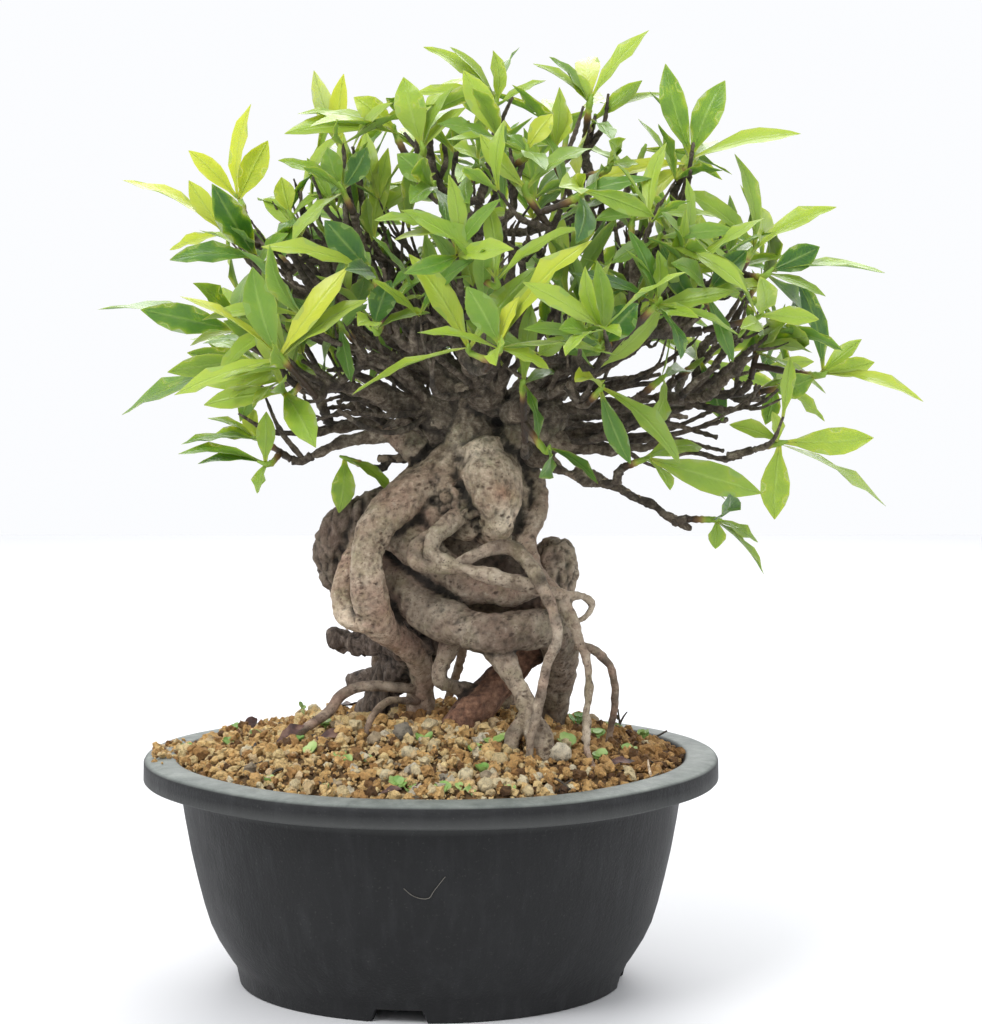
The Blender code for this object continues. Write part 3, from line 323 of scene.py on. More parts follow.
# Loose stones beyond the mound's edge lie on the pot's rim
ON_RIM = 69.7
MOUND_RINGS = 62
MOUND_TURNS = 180
# The crumb lies this far under the height at which loose stones lie
MOUND_DROP = 0.8
# The mound's side along the pot's wall: share of its radius, and height
MOUND_SIDE = ((0.955, 62.0), (0.89, 40.0), (0.71, 12.0))


def mound_height(x, y):
    """Height of the mound: a paraboloid that falls by SOIL_CROWN from its middle to its edge, heaped up
    to the rim on the left, the pot's rim beyond its edge, and a random field of crumbs on it all."""
    heap = 1.6 * np.exp(-((x + SOIL_RADIUS) / 9) ** 2 - ((y + 2) / 18) ** 2)
    level = np.maximum(SOIL_EDGE + SOIL_CROWN * (1 - (x * x + y * y) / SOIL_RADIUS ** 2) + heap,
                       np.where(np.hypot(x, y) > SOIL_RADIUS, ON_RIM, 0))
    flat = np.stack((x, y, np.zeros_like(x)), axis=-1).reshape(-1, 3)
    crumbs = 0.45 * ripple(flat, 9.0, 3) + 0.35 * ripple(flat, 3.6, 4)
    return level + crumbs.reshape(np.shape(x))


def mound():
    """Disc in rings and turns, lifted to the mound's height less MOUND_DROP, its edge turned down along
    the pot's wall, and its middle and underside shut by rings 0.02 of their size."""
    rings = np.linspace(0.5, SOIL_RADIUS, MOUND_RINGS)
    radius, turns = np.meshgrid(rings, np.linspace(0, 2 * np.pi, MOUND_TURNS, False), indexing="ij")
    x, y = radius * np.cos(turns), radius * np.sin(turns)
    top = np.stack((x, y, mound_height(x, y) - MOUND_DROP), axis=-1)
    shares, heights = np.array(MOUND_SIDE).T[..., None]
    side = top[-1:].repeat(len(MOUND_SIDE), axis=0)
    side[:, :, 2] = heights
    side[:, :, :2] *= shares[..., None]
    shut = np.array((0.02, 0.02, 1.0))
    points = np.vstack((top[:1] * shut, top, side, side[-1:] * shut))
    return points.reshape(-1, 3), grid_faces(len(points), MOUND_TURNS, True)[:, ::-1].tolist()


def crumb_finish():
    """Damp dark crumb: brown with ochre and near-black patches."""
    made, tree, shader, here = principled("fine crumb", 0.95)
    coarse = noise_at(tree, here, 300.0, 5.0, 0.7)
    base = ramp_of(tree, coarse, (0.32, (0.050, 0.028, 0.012)), (0.55, (0.17, 0.098, 0.038)),
                   (0.75, (0.34, 0.21, 0.090)))
    tree.links.new(base, shader.inputs["Base Color"])
    bumped(tree, shader, ((noise_at(tree, here, 700.0, 5.0, 0.75), 0.0012),))
    return made


soil_mound = piece_from("soil_mound", *mound(), crumb_finish())
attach(soil_mound, "root")
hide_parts("soil")


# Granules: the loose top layer. Most are ochre to brown baked clay, some are cream pumice or grey grit.
# They are a few sizes of one rough stone, each with its own proportions, turn and tint.
GOLDEN_TURN = 2.399963
# Name, number where they lie all over, half size from and to, least share of it along an axis, and
# how finely the stone is cut
STONE_KINDS = (
    ("granules", 2100, (0.85, 2.2), 0.6, 2),
    ("fine_granules", 6500, (0.35, 0.85), 0.7, 1),
    ("pale_stones", 0, (0.9, 2.3), 0.62, 2),
    ("large_stones", 0, None, 0.75, 3),
    ("spilled_granules", 0, (0.4, 1.35), 0.66, 1),
)
# Kinds that lie on one side: their number, the direction they lie in and its spread in radians, and radii
# from and to. They are those spilled onto the rim at the left, and the pumice strewn over the front.
STREWN_KINDS = (("spilled_granules", 260, 3.13, 0.09, (SOIL_RADIUS - 3, 85.0)),
                ("pale_stones", 130, 4.75, 0.62, (12.0, SOIL_RADIUS - 1.0)))
PALE_KINDS = ("pale_stones", "large_stones")
# The largest stones: x, y, half their size, and a tint of 0.9 for grey, 1 for tan and less for cream
LARGE_STONES = ((-8, -27, 3.5, 0.87), (-16, -31, 2.5, 0.97), (21, -46, 3.3, 0.02), (39, -40, 3.0, 0.7),
                (10, -36, 1.7, 0.4), (-6, -47, 2.0, 0.4), (17, -66, 2.3, 0.3), (11, -62, 2.3, 0.4),
                (24, -63, 1.8, 0.2), (32, -57, 2.0, 0.75), (-12, -60, 1.8, 0.4), (-24, -67, 2.3, 0.02),
                (-55, -20, 2.4, 0.55), (29, -66, 1.8, 0.1), (-3, -60, 1.9, 0.3), (-38, -62, 1.7, 0.2),
                (14, 48, 2.6, 0.5), (50, 36, 2.8, 0.97), (-38, 40, 2.4, 0.3))


def stone_shape(rounds):
    """Unit sphere of triangles: the twenty faces of an icosahedron, each split in four rounds - 1 times.
    Its corners are the points (+-1, +-golden ratio, 0) and their turns through the axes."""
    golden = (1 + 5 ** 0.5) / 2
    points = [np.roll((x, y * golden, 0.0), turn) / math.hypot(1, golden)
              for turn in range(3) for y in (1, -1) for x in (-1, 1)]
    faces = [(0, 11, 5), (0, 5, 1), (0, 1, 7), (0, 7, 10), (0, 10, 11), (1, 5, 9), (5, 11, 4), (11, 10, 2),
             (10, 7, 6), (7, 1, 8), (3, 9, 4), (3, 4, 2), (3, 2, 6), (3, 6, 8), (3, 8, 9), (4, 9, 5),
             (2, 4, 11), (6, 2, 10), (8, 6, 7), (9, 8, 1)]
    for _ in range(rounds - 1):
        middles, split = {}, []
        for face in faces:
            ring = []
            for a, b in zip(face, face[1:] + face[:1]):
                key = (min(a, b), max(a, b))
                if key not in middles:
                    middles[key] = len(points)
                    points.append((points[a] + points[b]) / np.linalg.norm(points[a] + points[b]))
                ring.append(middles[key])
            split += [(face[0], ring[0], ring[2]), (face[1], ring[1], ring[0]), (face[2], ring[2], ring[1]),
                      tuple(ring)]
        faces = split
    return np.array(points), np.array(faces)


def scatter_stones(count, sizes, flatness, rounds, seed, places=None):
    """Copies of the rough stone on the mound: at places given or else on an even golden-angle spiral with a
    jitter; of sizes from many small to few large, with three different half-axes, a random turn, and each
    corner pushed in or out a little. On the right, tints fall by up to 60 %, as painted shade."""
    rng = np.random.default_rng(seed)
    if places is None:
        order = np.arange(count) + 0.5
        radius = (SOIL_RADIUS - 0.6) * np.sqrt(order / count)
        turn = order * GOLDEN_TURN
        places = np.stack((radius * np.cos(turn), radius * np.sin(turn)), axis=-1)
        places += rng.normal(scale=1.3, size=(count, 2))
        places *= np.minimum(1, (SOIL_RADIUS - 0.4) / np.linalg.norm(places, axis=1))[:, None]
    count = len(places)
    size = sizes[0] + (sizes[1] - sizes[0]) * rng.random(count) ** 1.7 if sizes else places[:, 2]
    shape, faces = stone_shape(rounds)
    push = rng.normal(scale=0.25 if rounds < 3 else 0.08, size=(count, len(shape), 1)).clip(-0.5, 0.42)
    rough = shape[None] * (1 + push) * (size[:, None] * rng.uniform(flatness, 1.15, (count, 3)))[:, None, :]
    turns = rng.normal(size=(count, 4))
    turns /= np.linalg.norm(turns, axis=1)[:, None]
    w, x, y, z = turns.T
    spin = np.stack((1 - 2 * (y * y + z * z), 2 * (x * y - z * w), 2 * (x * z + y * w),
                     2 * (x * y + z * w), 1 - 2 * (x * x + z * z), 2 * (y * z - x * w),
                     2 * (x * z - y * w), 2 * (y * z + x * w), 1 - 2 * (x * x + y * y)), axis=-1)
    rough = rough @ spin.reshape(-1, 3, 3)
    height = mound_height(places[:, 0], places[:, 1]) + size * rng.uniform(-0.1, 0.8, count) + 0.3
    rough += np.column_stack((places[:, :2], height))[:, None, :]
    numbers = faces[None] + (np.arange(count) * len(shape))[:, None, None]
    # Painted shade: the tints fall towards the right.
    tints = rng.random(count) * (1 - 0.6 * np.clip((places[:, 0] - 20) / 35, 0, 1)) if sizes else places[:, 3]
    tints = np.repeat(tints, len(shape))
    return rough.reshape(-1, 3), numbers.reshape(-1, 3), tints


def with_value(piece, name, values, domain="POINT"):
    """Puts one number on each point or face of a piece, for its material."""
    layer = piece.data.attributes.new(name, "FLOAT", domain)
    layer.data.foreach_set("value", np.asarray(values, dtype=np.float32))


def value_of(tree, name):
    """The number that a piece carries under this name, read by its material."""
    read = tree.nodes.new("ShaderNodeAttribute")
    read.attribute_name = name
    return read.outputs["Fac"]


def stone_finish(name, stops, grain):
    """Porous granule: its own tint from stops, darker pits, and a rough grain."""
    made, tree, shader, here = principled(name, 0.92)
    base = ramp_of(tree, value_of(tree, "tint"), *stops)
    pits = grey_of(tree, noise_at(tree, here, grain, 5.0, 0.7), (0.30, 0.34), (0.48, 0.92), (0.70, 1.3))
    tree.links.new(mixed(tree, 1.0, base, pits, "MULTIPLY"), shader.inputs["Base Color"])
    bumped(tree, shader, ((noise_at(tree, here, grain * 1.6, 5.0, 0.8), 0.0018),))
    return made


CLAY_STOPS = ((0.0, (0.12, 0.060, 0.026)), (0.16, (0.50, 0.265, 0.090)), (0.50, (0.92, 0.580, 0.225)),
              (0.84, (1.0, 0.770, 0.380)), (1.0, (0.88, 0.65, 0.38)))
PALE_STOPS = ((0.0, (0.80, 0.62, 0.33)), (0.45, (0.86, 0.74, 0.48)), (0.75, (0.78, 0.70, 0.54)),
              (0.88, (0.27, 0.235, 0.185)), (1.0, (0.55, 0.42, 0.26)))
clay = stone_finish("baked clay", CLAY_STOPS, 650.0)
pumice = stone_finish("pumice and grit", PALE_STOPS, 500.0)
strewn = np.random.default_rng(46)
strewn_at = {"large_stones": np.array(LARGE_STONES, dtype=float)}
for name, count, middle, spread, reach in STREWN_KINDS:
    turn = strewn.normal(middle, spread, count)
    out = np.sqrt(strewn.uniform(reach[0] ** 2, reach[1] ** 2, count))
    strewn_at[name] = np.stack((out * np.cos(turn), out * np.sin(turn)), axis=-1)
for seed, (name, count, sizes, flatness, rounds) in enumerate(STONE_KINDS, 40):
    points, faces, tints = scatter_stones(count, sizes, flatness, rounds, seed, strewn_at.get(name))
    stones = piece_from(name, points, faces.tolist(), pumice if name in PALE_KINDS else clay,
                        rounds > 1, 34 if rounds == 2 else None)
    with_value(stones, "tint", tints)
    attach(stones, "root")
    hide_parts("soil")


# Wood: the trunk with its bared, knotted roots and the limbs grew as one, from a root ball that was
# lifted out of the soil year by year. The routes, of x, y, z and radius, are those of the solids, but the
# dark knob and the red leg are a little fuller.
ROOTS = {
    "trunk": ((13, 0, 183, 6.8), (13, 0, 177, 7.2), (13, 0, 169.5, 9.6), (14.5, -1, 162.5, 12),
        (16.5, -3, 155.5, 12.4), (18, -7, 148.5, 10.6), (19, -8, 142, 8), (19, -7, 136, 5)),
    "shoulder": ((9, 5, 165, 8), (8, 5, 158.5, 9.6), (5.5, 6, 149, 11), (5.5, 6, 141, 11),
        (8.5, 5, 132, 9.4), (12, 5, 124, 7)),
    "core": ((-8, 7, 128, 9), (5, 8, 125, 12), (20, 8, 123, 12), (33, 7, 119.5, 9.5)),
    "left arch": ((8, -3, 160, 8.4), (-2, -8, 154, 7), (-9, -13, 148.5, 6.3), (-15, -18, 143, 5.6),
        (-18, -22, 136.5, 5), (-19, -24, 129.5, 5), (-18, -21.5, 121, 5.7), (-15.5, -17, 113, 5.5),
        (-10, -9, 106.5, 4.7), (-5, -3, 101, 4.4), (-3, 1, 94.5, 4.2), (-3, 3.5, 87, 4.4),
        (-5, 5.5, 71, 4.4)),
    "left loop": ((-22.5, -4, 132.5, 2.7), (-25.5, -8, 128, 2.8), (-27, -11, 121.5, 3.1),
        (-25.5, -15, 115.5, 3.5), (-21, -18.5, 113, 3.8), (-15.5, -20, 115.5, 4.2)),
    "weathered lobe": ((-2, 4, 149, 5), (-14, 0, 147, 4.6), (-24.5, -1, 142.5, 4.8), (-29.5, 0, 136, 4.8),
        (-31, 2, 129, 4.1), (-28.5, 2.5, 122.5, 3.3), (-24.5, 1, 117, 2.2)),
    "middle band": ((-16, -3, 139.5, 4.5), (-6, -10, 137, 6.9), (2, -11, 129.5, 6), (10.5, -15, 124, 5.3),
        (18.5, -18, 123, 4.9), (27.5, -17, 122.5, 4.3), (35, -11, 124, 3.4)),
    "great band": ((-15.5, 0, 129, 4.8), (-9, -8, 123, 6.4), (-1.5, -15.5, 116.5, 6.8),
        (7.5, -21.5, 112, 6.7), (18, -25, 110, 6.6), (28, -23.5, 111, 6.3), (35.5, -18, 110.5, 5.9),
        (39, -11, 104.5, 5.4), (39.3, -4, 96.5, 5.1), (38.3, 3, 88, 4.9), (36.5, 8, 79.5, 5),
        (36, 10, 67, 5)),
    "thin root over the front": ((13, -12, 147, 3.4), (6, -22, 143, 2.9), (1.5, -25.5, 139.5, 2.6),
        (0.5, -28, 135, 2.4), (5.5, -30, 132, 2.4), (13.5, -32, 129.3, 2.4), (23, -33, 127, 2.4),
        (32, -30.5, 124.5, 2), (40.5, -24, 121.6, 1.5), (46, -20, 120.7, 1.3), (48.8, -18, 117.8, 1.2),
        (47, -18, 114.4, 1.1), (43.5, -19, 112.8, 1)),
    "hooked root": ((3, -22, 141, 2.2), (-3.8, -25.5, 136, 2.2), (-3, -28, 131.5, 2.2),
        (3, -29.5, 130.5, 2), (8, -31, 130.5, 1.8)),
    "long root to the front": ((8, -30, 131, 1.8), (16, -31.5, 135.5, 1.9), (24, -30.5, 136.7, 2.1),
        (29.5, -32, 132, 2.2), (33.8, -35, 124.7, 1.8), (37, -37, 117, 1.6), (37.9, -38, 110, 1.5),
        (35, -38, 103, 1.5), (32.6, -38.5, 91, 1.6), (30, -41, 80, 1.3), (29.6, -42.5, 68, 1.1)),
    "right root from the trunk": ((27, -1, 160, 3.4), (32, -3, 154, 3.2), (33, -6, 148, 3.3),
        (31, -10, 142, 3.2), (28.8, -13.5, 136.5, 3.1), (31, -16.5, 129.5, 2.7), (38, -21.5, 121.5, 2.3),
        (42.8, -26, 113.5, 1.9), (45.8, -27.5, 105, 1.6), (47.6, -28.2, 96.5, 1.4),
        (46.8, -30.5, 85.5, 1.3), (46.6, -36, 78, 1.3), (48.5, -42, 73, 1.1), (50, -45, 64, 1)),
    "outer thin root": ((44, -27.5, 107, 1.5), (50, -23, 104.4, 1.3), (54.8, -18, 98, 1.2),
        (56, -14.5, 88, 1.2), (54.3, -12.5, 77, 1.1), (53.5, -12, 65, 1)),
    "dark knob": ((35.5, 0, 114, 4.7), (37, 2, 118, 5), (38, 4, 123.5, 5.6), (38.1, 5, 129, 6.2),
        (37.3, 5, 134, 5)),
    "front leg": ((18, -21, 110, 5), (20.5, -24, 105, 4.5), (24, -26.5, 99, 3.5), (27.5, -29, 92, 2.9),
        (30.3, -32, 85.7, 3.3), (33, -35, 80, 3.8), (34.2, -37, 74.5, 3.2), (34.8, -38, 67.5, 2.4)),
    "front leg web": ((29.5, -30.5, 87, 2.5), (27.5, -32, 84, 2.6), (24.8, -34, 80, 2.5), (25, -36, 75, 2),
        (26, -37, 68.5, 1.6)),
    "red leg": ((37, -3, 107, 5.2), (29.5, 0, 101, 5.3), (22.3, -3, 94, 5.6), (16.3, -7, 88, 5.8),
        (10.5, -11, 82.5, 5.9), (6.5, -13.5, 75.5, 5.4), (5, -14, 70.5, 4)),
    "hook": ((7.5, -16, 112, 3.8), (5.4, -14.3, 104, 3), (3, -15.5, 98, 2.6), (3.3, -15.5, 94.3, 2.5),
        (7, -11, 92.2, 2.5), (12, -7, 91, 2.4)),
    "dark stub": ((-6, -3, 102.5, 4.4), (-12, 4, 103.3, 4), (-19.5, 9, 102.5, 3), (-25.5, 10, 103, 3.2),
        (-30.5, 10, 104, 2.7)),
    "dead wood": ((-4.5, -1, 102.5, 5), (-9, 6, 97, 5.4), (-13.5, 10, 91, 5.5), (-18, 10.5, 81.5, 4.7),
        (-19, 10.5, 71, 4.2)),
    "dead wood spur": ((-13, 10, 91.5, 3), (-17.5, 10, 91.8, 2.8), (-22.7, 10, 91, 2.6),
        (-25.8, 10, 91, 2.2)),
    "surface root": ((-3, 2, 89, 1.8), (-8, -1.5, 90.2, 1.7), (-20, -5, 91.3, 1.8), (-27, -7.5, 89, 1.8),
        (-31, -9.5, 84, 1.6), (-38, -13.5, 79.5, 1.4), (-45, -18.5, 74, 1.1), (-48, -20.5, 70, 0.9)),
    "small surface root": ((-4, 1, 86, 1.5), (-8, -8, 87.4, 1.1), (-13, -14, 88, 1.1), (-18, -18, 83, 1),
        (-20, -20, 74, 0.9)),
    "back left leg": ((0, 12, 135, 8), (-6, 18, 127, 6.8), (-12, 24, 117, 5.6), (-15, 28, 105, 4.8),
        (-15, 30, 93, 4.3), (-17, 32, 81, 4.6), (-18, 33, 70, 4.2)),
    "back right leg": ((16, 12, 143, 8.4), (24, 18, 131, 7), (29, 24, 119, 5.8), (29, 28, 106, 5),
        (25, 30, 94, 4.4), (22, 33, 82, 4.7), (21, 34, 69, 4.2)),
    "back band": ((30, 10, 121, 6), (20, 19, 118, 5.8), (8, 23, 116, 5.8), (-4, 20, 118, 5.4),
        (-13, 12, 123, 5)),
    "back thin root": ((6, 14, 148, 3.2), (3, 21, 139, 2.8), (5, 26, 129, 2.5), (11, 30, 115, 2.2),
        (9, 32.5, 96, 1.9), (4.5, 39, 81, 1.6), (3, 43, 68, 1.4)),
    "burr": ((24, -4, 167, 5.5), (29, -6, 171, 6.5), (35, -5, 173, 6), (40, -3, 175, 4.4)),
    "left knot": ((-4, -5, 163, 4.5), (-9, -4, 168, 4.4), (-12, -3, 171, 3.6)),
}
LIMBS = (
    ((8, -1, 173, 6), (-3, -5, 176.5, 4.8), (-14, -12, 180, 3.6), (-25, -22, 183.5, 2.6),
        (-33, -33, 186, 1.9)),
    ((5, 0, 167, 5), (-9, -2, 168.5, 4), (-22, -6, 167.5, 3), (-33, -9, 163.5, 2.1), (-39, -10, 160.5, 1.6)),
    ((-7, -2, 169, 3.2), (-18, 3, 171, 2.6), (-30, 2, 169.5, 2), (-40, -1, 168, 1.4)),
    ((9, 2, 176, 5), (1, 4, 186, 3.8), (-10, 2, 196, 3), (-21, -4, 205, 2.2), (-31, -9, 213, 1.7)),
    ((6, 6, 181, 4), (0, 8, 194, 3), (-9, 9, 209, 2.3), (-17, 5, 226, 1.7), (-20, -4, 235, 1.4)),
    ((-26, -6, 208, 1.9), (-36, 0, 216, 1.6), (-44, 1, 224, 1.4)),
    ((14, 3, 177, 5), (15, 7, 193, 3.8), (14, 6, 211, 3), (15, 0, 229, 2.2), (15, -12, 240, 1.6)),
    ((19, -3, 177, 4.5), (22, -16, 190, 3.2), (25, -28, 205, 2.4), (28, -38, 219, 1.8), (29, -46, 229, 1.4)),
    ((16, -6, 178, 4), (13, -22, 187, 2.6), (9, -38, 195, 1.9), (4, -49, 205, 1.5)),
    ((24, 2, 175, 5), (38, 6, 189, 3.6), (49, 2, 208, 2.8), (52, -6, 226, 2.1), (51, -10, 243, 1.6)),
    ((28, 0, 176, 5), (50, -6, 187, 3.6), (66, -14, 198, 2.8), (79, -18, 209, 2.2), (88, -14, 216, 1.7)),
    ((54, -7, 190, 2.4), (62, -8, 209, 2), (70, -10, 227, 1.6), (75, -12, 238, 1.4)),
    ((29, -3, 174, 5), (56, -6, 178, 3.6), (76, -8, 180, 2.6), (88, -9, 181, 1.9)),
    ((69, -8, 179, 2.4), (82, -17, 181, 2), (92, -28, 190, 1.6), (95, -33, 194, 1.4)),
    ((30, -4, 168, 4.5), (50, -9, 163.5, 3.2), (66, -16, 165.5, 2.4), (81, -21, 163, 1.9),
        (93, -26, 163, 1.5)),
    ((31, 0, 166, 4), (50, 4, 169, 3), (66, 8, 172, 2.4), (81, 9, 177, 1.8), (92, 10, 180, 1.4)),
    ((31, -3, 163, 4), (42, -14, 157, 3), (50, -26, 155, 2.2), (56, -33, 156, 1.6)),
    ((44, -12, 157.5, 2), (58, -11, 152, 1.6), (67, -10, 147, 1.5), (74, -14, 142.5, 1.4),
        (79, -18, 141, 1.2)),
    ((24, -6, 174, 4), (33, -24, 181, 2.8), (41, -42, 185, 2), (46, -55, 188, 1.5)),
    ((26, -4, 177, 4), (40, -22, 189, 2.8), (53, -38, 198, 2.1), (61, -49, 201, 1.5)),
    ((4, -2, 164, 3), (-8, -2, 161, 2), (-16, -2, 161, 1.5)),
    ((13, 3, 176, 5), (8, 22, 185, 3.8), (0, 40, 194, 2.8), (-8, 54, 203, 1.8)),
    ((18, 4, 175, 5), (29, 26, 182, 3.6), (42, 44, 188, 2.6), (52, 56, 195, 1.8)),
    ((9, 4, 171, 4.5), (-8, 22, 174, 3.4), (-22, 36, 177, 2.4), (-32, 45, 180, 1.7)),
    ((26, 2, 172, 4.5), (44, 20, 172, 3.4), (64, 33, 173, 2.5), (80, 42, 176, 1.8)),
    ((17, 4, 179, 4.5), (18, 24, 200, 3.4), (20, 38, 218, 2.4), (22, 45, 233, 1.7)),
    ((16, 4, 167, 4), (20, 28, 165, 3), (18, 48, 165, 2.2), (14, 60, 168, 1.8)),
)
# How far some routes are dead and weathered wood, how far their bark is rusty, and how light it is beside the
# rest. Above one it is paler bark; the lowest, on the core in the pocket under the bulge, the great band and
# the legs and band at the back, are painted shade where shade falls on them.
WEATHERED = {"weathered lobe": 0.6, "dark stub": 0.95, "dead wood": 0.9, "dead wood spur": 0.95,
             "dark knob": 0.3}
RED = {"red leg": 0.85, "small surface root": 0.25, "core": 0.1, "left arch": 0.12, "dark stub": 0.4,
       "weathered lobe": 0.15}
SHADES = {"left loop": 1.6, "left arch": 1.25, "great band": 0.68, "middle band": 0.96, "trunk": 1.55,
          "shoulder": 1.0, "front leg": 0.95, "core": 0.36, "back left leg": 0.6, "back right leg": 0.8,
          "hook": 0.85, "back band": 0.5, "dark knob": 1.2}
USUAL_SHADE = 0.95
# Roots up to this radius stay strands of their own; the others and the first rows of each limb are one
# skin, remeshed in cells of VOXEL
THIN_ROOT = 2.6
LIMB_START = 16
VOXEL = 0.78
ROUTE_STEP = 1.3
ROOT_SIDES = 24
LIMB_SIDES = 16
# The height from which the trunk's bark turns limb brown, over how many millimetres, and the x and z of
# a rusty spot on its front
NECK = 165
NECK_DEPTH = 8
RUSTY_SPOT = (22, 152)
# Old wood that fills pockets: two behind the left arch, where cuts healed in a ring, the trunk's swollen
# front, one beside its right root, two at the left arch's knee, and one behind the leg under it
FILLINGS = (((3, -6, 157, 6), (5, -9.5, 150.5, 6.2), (9.5, -10.5, 144.5, 5.8), (11.5, -10, 138, 4.4)),
            ((-4, -7.5, 148, 4.8), (1, -11, 144, 5), (6, -11.5, 139.5, 4.4)),
            ((15, -6, 164, 9), (17.5, -9.5, 157, 9.8), (19, -12, 150, 9.4), (19.8, -12, 143.5, 7.4),
             (20, -10.5, 138, 4.6)),
            ((26, -4, 156, 3.2), (27.5, -6, 149, 3.6), (27.5, -8.5, 141, 3.4)),
            ((-22, -3, 141, 3.5), (-23, -2, 134, 4), (-24, -2, 127, 3)),
            ((-16, 0, 135, 4), (-11, 0, 129, 4.5)),
            ((-7, 6, 114, 5), (-2, 7, 107, 5), (1.5, 7, 100, 4), (3, 6, 95, 2.8)))
# Round scars of old cuts, each a dome with a furrow round it: x, z, radius and rise
SCARS = ((4.4, 150.2, 1.7, 0.9), (7.8, 151.8, 1.5, 0.9), (7.4, 148.0, 1.2, 0.6), (11.0, 146.2, 1.1, 0.6),
         (12.9, 144.8, 1.5, 0.8), (17.8, 146.0, 1.8, 0.4), (10.3, 149.0, 1.0, 0.6), (3.8, 146.6, 1.0, 0.5),
         (14.6, 142.0, 1.3, 0.5), (1.8, 149.2, 0.9, 0.5), (6.2, 145.2, 1.0, 0.5), (7.0, 153.6, 1.2, 0.4))


def through(rows, step):
    """Points and radii about step apart on a smooth curve through the rows: a cubic between each two,
    whose slope at a row is half the way from the row before to the one after."""
    rows = np.asarray(rows, dtype=float)
    padded = np.vstack((2 * rows[0] - rows[1], rows, 2 * rows[-1] - rows[-2]))
    pieces = []
    for a, b, c, d in zip(padded[:-3], padded[1:-2], padded[2:-1], padded[3:]):
        count = max(2, int(np.linalg.norm(c[:3] - b[:3]) / step))
        t = (np.arange(count) / count)[:, None]
        pieces.append(0.5 * (2 * b + (c - a) * t + (2 * a - 5 * b + 4 * c - d) * t ** 2
                             + (3 * b - a - 3 * c + d) * t ** 3))
    return np.vstack(pieces + [rows[-1:]])


def distance_along(rows):
    """How far each row is from the first, along the rows."""
    return np.concatenate(((0.0,), np.cumsum(np.linalg.norm(np.diff(rows[:, :3], axis=0), axis=1))))


def narrowed(rows):
    """A limb's rows, slimmer over the first 14 mm by up to 60 % on the right and 30 % on the left, but not
    under 1.25 mm by that."""
    along = distance_along(rows)
    slim = rows[:, 3] * (1 - (0.6 if rows[-1, 0] > 0 else 0.3) * np.clip((along - 2) / 12, 0, 1))
    return np.column_stack((rows[:, :3], np.maximum(slim, np.minimum(rows[:, 3], 1.25))))


def unit(vectors):
    """Vectors in rows, or one alone, at length one."""
    return vectors / np.linalg.norm(vectors, axis=-1, keepdims=True)


def ringed(rows, sides, seed, flute=0.07, swell=0.05):
    """Closed tube along rows of x, y, z and radius: rings square to the path, their radius swelling by two
    sines along it and by a cosine of twice and one of three times the turn round it, which wind slowly,
    and a point that rounds off each end."""
    rows = np.asarray(rows)
    points, radii = rows[:, :3], rows[:, 3]
    tangents = unit(np.gradient(points, axis=0))
    along = distance_along(rows)
    side = np.array((1.0, 0.0, 0.0)) if abs(tangents[0][0]) < 0.8 else np.array((0.0, 1.0, 0.0))
    sides_of = []
    for tangent in tangents:
        side = unit(side - tangent * side.dot(tangent))
        sides_of.append(side)
    sides_of = np.array(sides_of)
    others = np.cross(tangents, sides_of)
    phase = np.random.default_rng(seed).uniform(0, 2 * np.pi, 4)
    turns = 2 * np.pi * np.arange(sides) / sides
    wave = 1 + swell * np.sin(along / 2.9 + phase[0]) + 0.6 * swell * np.sin(along / 1.3 + phase[1])
    lobes = (1 + flute * np.cos(2 * turns[None] + along[:, None] * 0.06 + phase[2])
             + 0.6 * flute * np.cos(3 * turns[None] - along[:, None] * 0.09 + phase[3]))
    reach = (radii * wave)[:, None] * lobes
    rings = (points[:, None] + reach[..., None] * (np.cos(turns)[None, :, None] * sides_of[:, None]
                                                   + np.sin(turns)[None, :, None] * others[:, None]))
    last = (len(rings) - 1) * sides
    poles = (points[0] - tangents[0] * radii[0] * 0.45, points[-1] + tangents[-1] * radii[-1] * 0.45)
    faces = grid_faces(len(rings), sides, True).tolist()
    first_pole = len(rings) * sides
    faces += [(first_pole, (k + 1) % sides, k) for k in range(sides)]
    faces += [(first_pole + 1, last + k, last + (k + 1) % sides) for k in range(sides)]
    return np.vstack((rings.reshape(-1, 3), poles)), faces


def joined(solids):
    """One list of points and faces from several."""
    points, faces, start = [], [], 0
    for solid in solids:
        points.append(solid[0])
        faces += [tuple(number + start for number in face) for face in solid[1]]
        start += len(solid[0])
    return np.vstack(points), faces


def read_rows(items, field):
    """A field of a mesh's points or normals, as rows of three."""
    flat = np.empty(len(items) * 3, dtype=np.float32)
    items.foreach_get(field, flat)
    return flat.reshape(-1, 3).astype(float)


def grown_together(name, solids, voxel, rounds):
    """Points, normals and faces of one skin over solids that run into each other: remeshed in small
    cells, which drops what lies inside, and evened out so that each crotch gets its fillet."""
    points, faces = joined(solids)
    mesh = bpy.data.meshes.new(name + "_draft")
    mesh.from_pydata((points * MM).tolist(), [], faces)
    draft = bpy.data.objects.new(name + "_draft", mesh)
    bpy.context.scene.collection.objects.link(draft)
    remesh = draft.modifiers.new("remesh", "REMESH")
    remesh.mode = "VOXEL"
    remesh.voxel_size = voxel * MM
    smooth = draft.modifiers.new("smooth", "SMOOTH")
    smooth.factor = 0.5
    smooth.iterations = rounds
    skin = bpy.data.meshes.new_from_object(draft.evaluated_get(bpy.context.evaluated_depsgraph_get()))
    bpy.data.objects.remove(draft)
    corners = np.empty(len(skin.loops), dtype=np.int32)
    skin.loops.foreach_get("vertex_index", corners)
    return (read_rows(skin.vertices, "co") * 1000, read_rows(skin.vertex_normals, "vector"),
            corners.reshape(-1, 4))


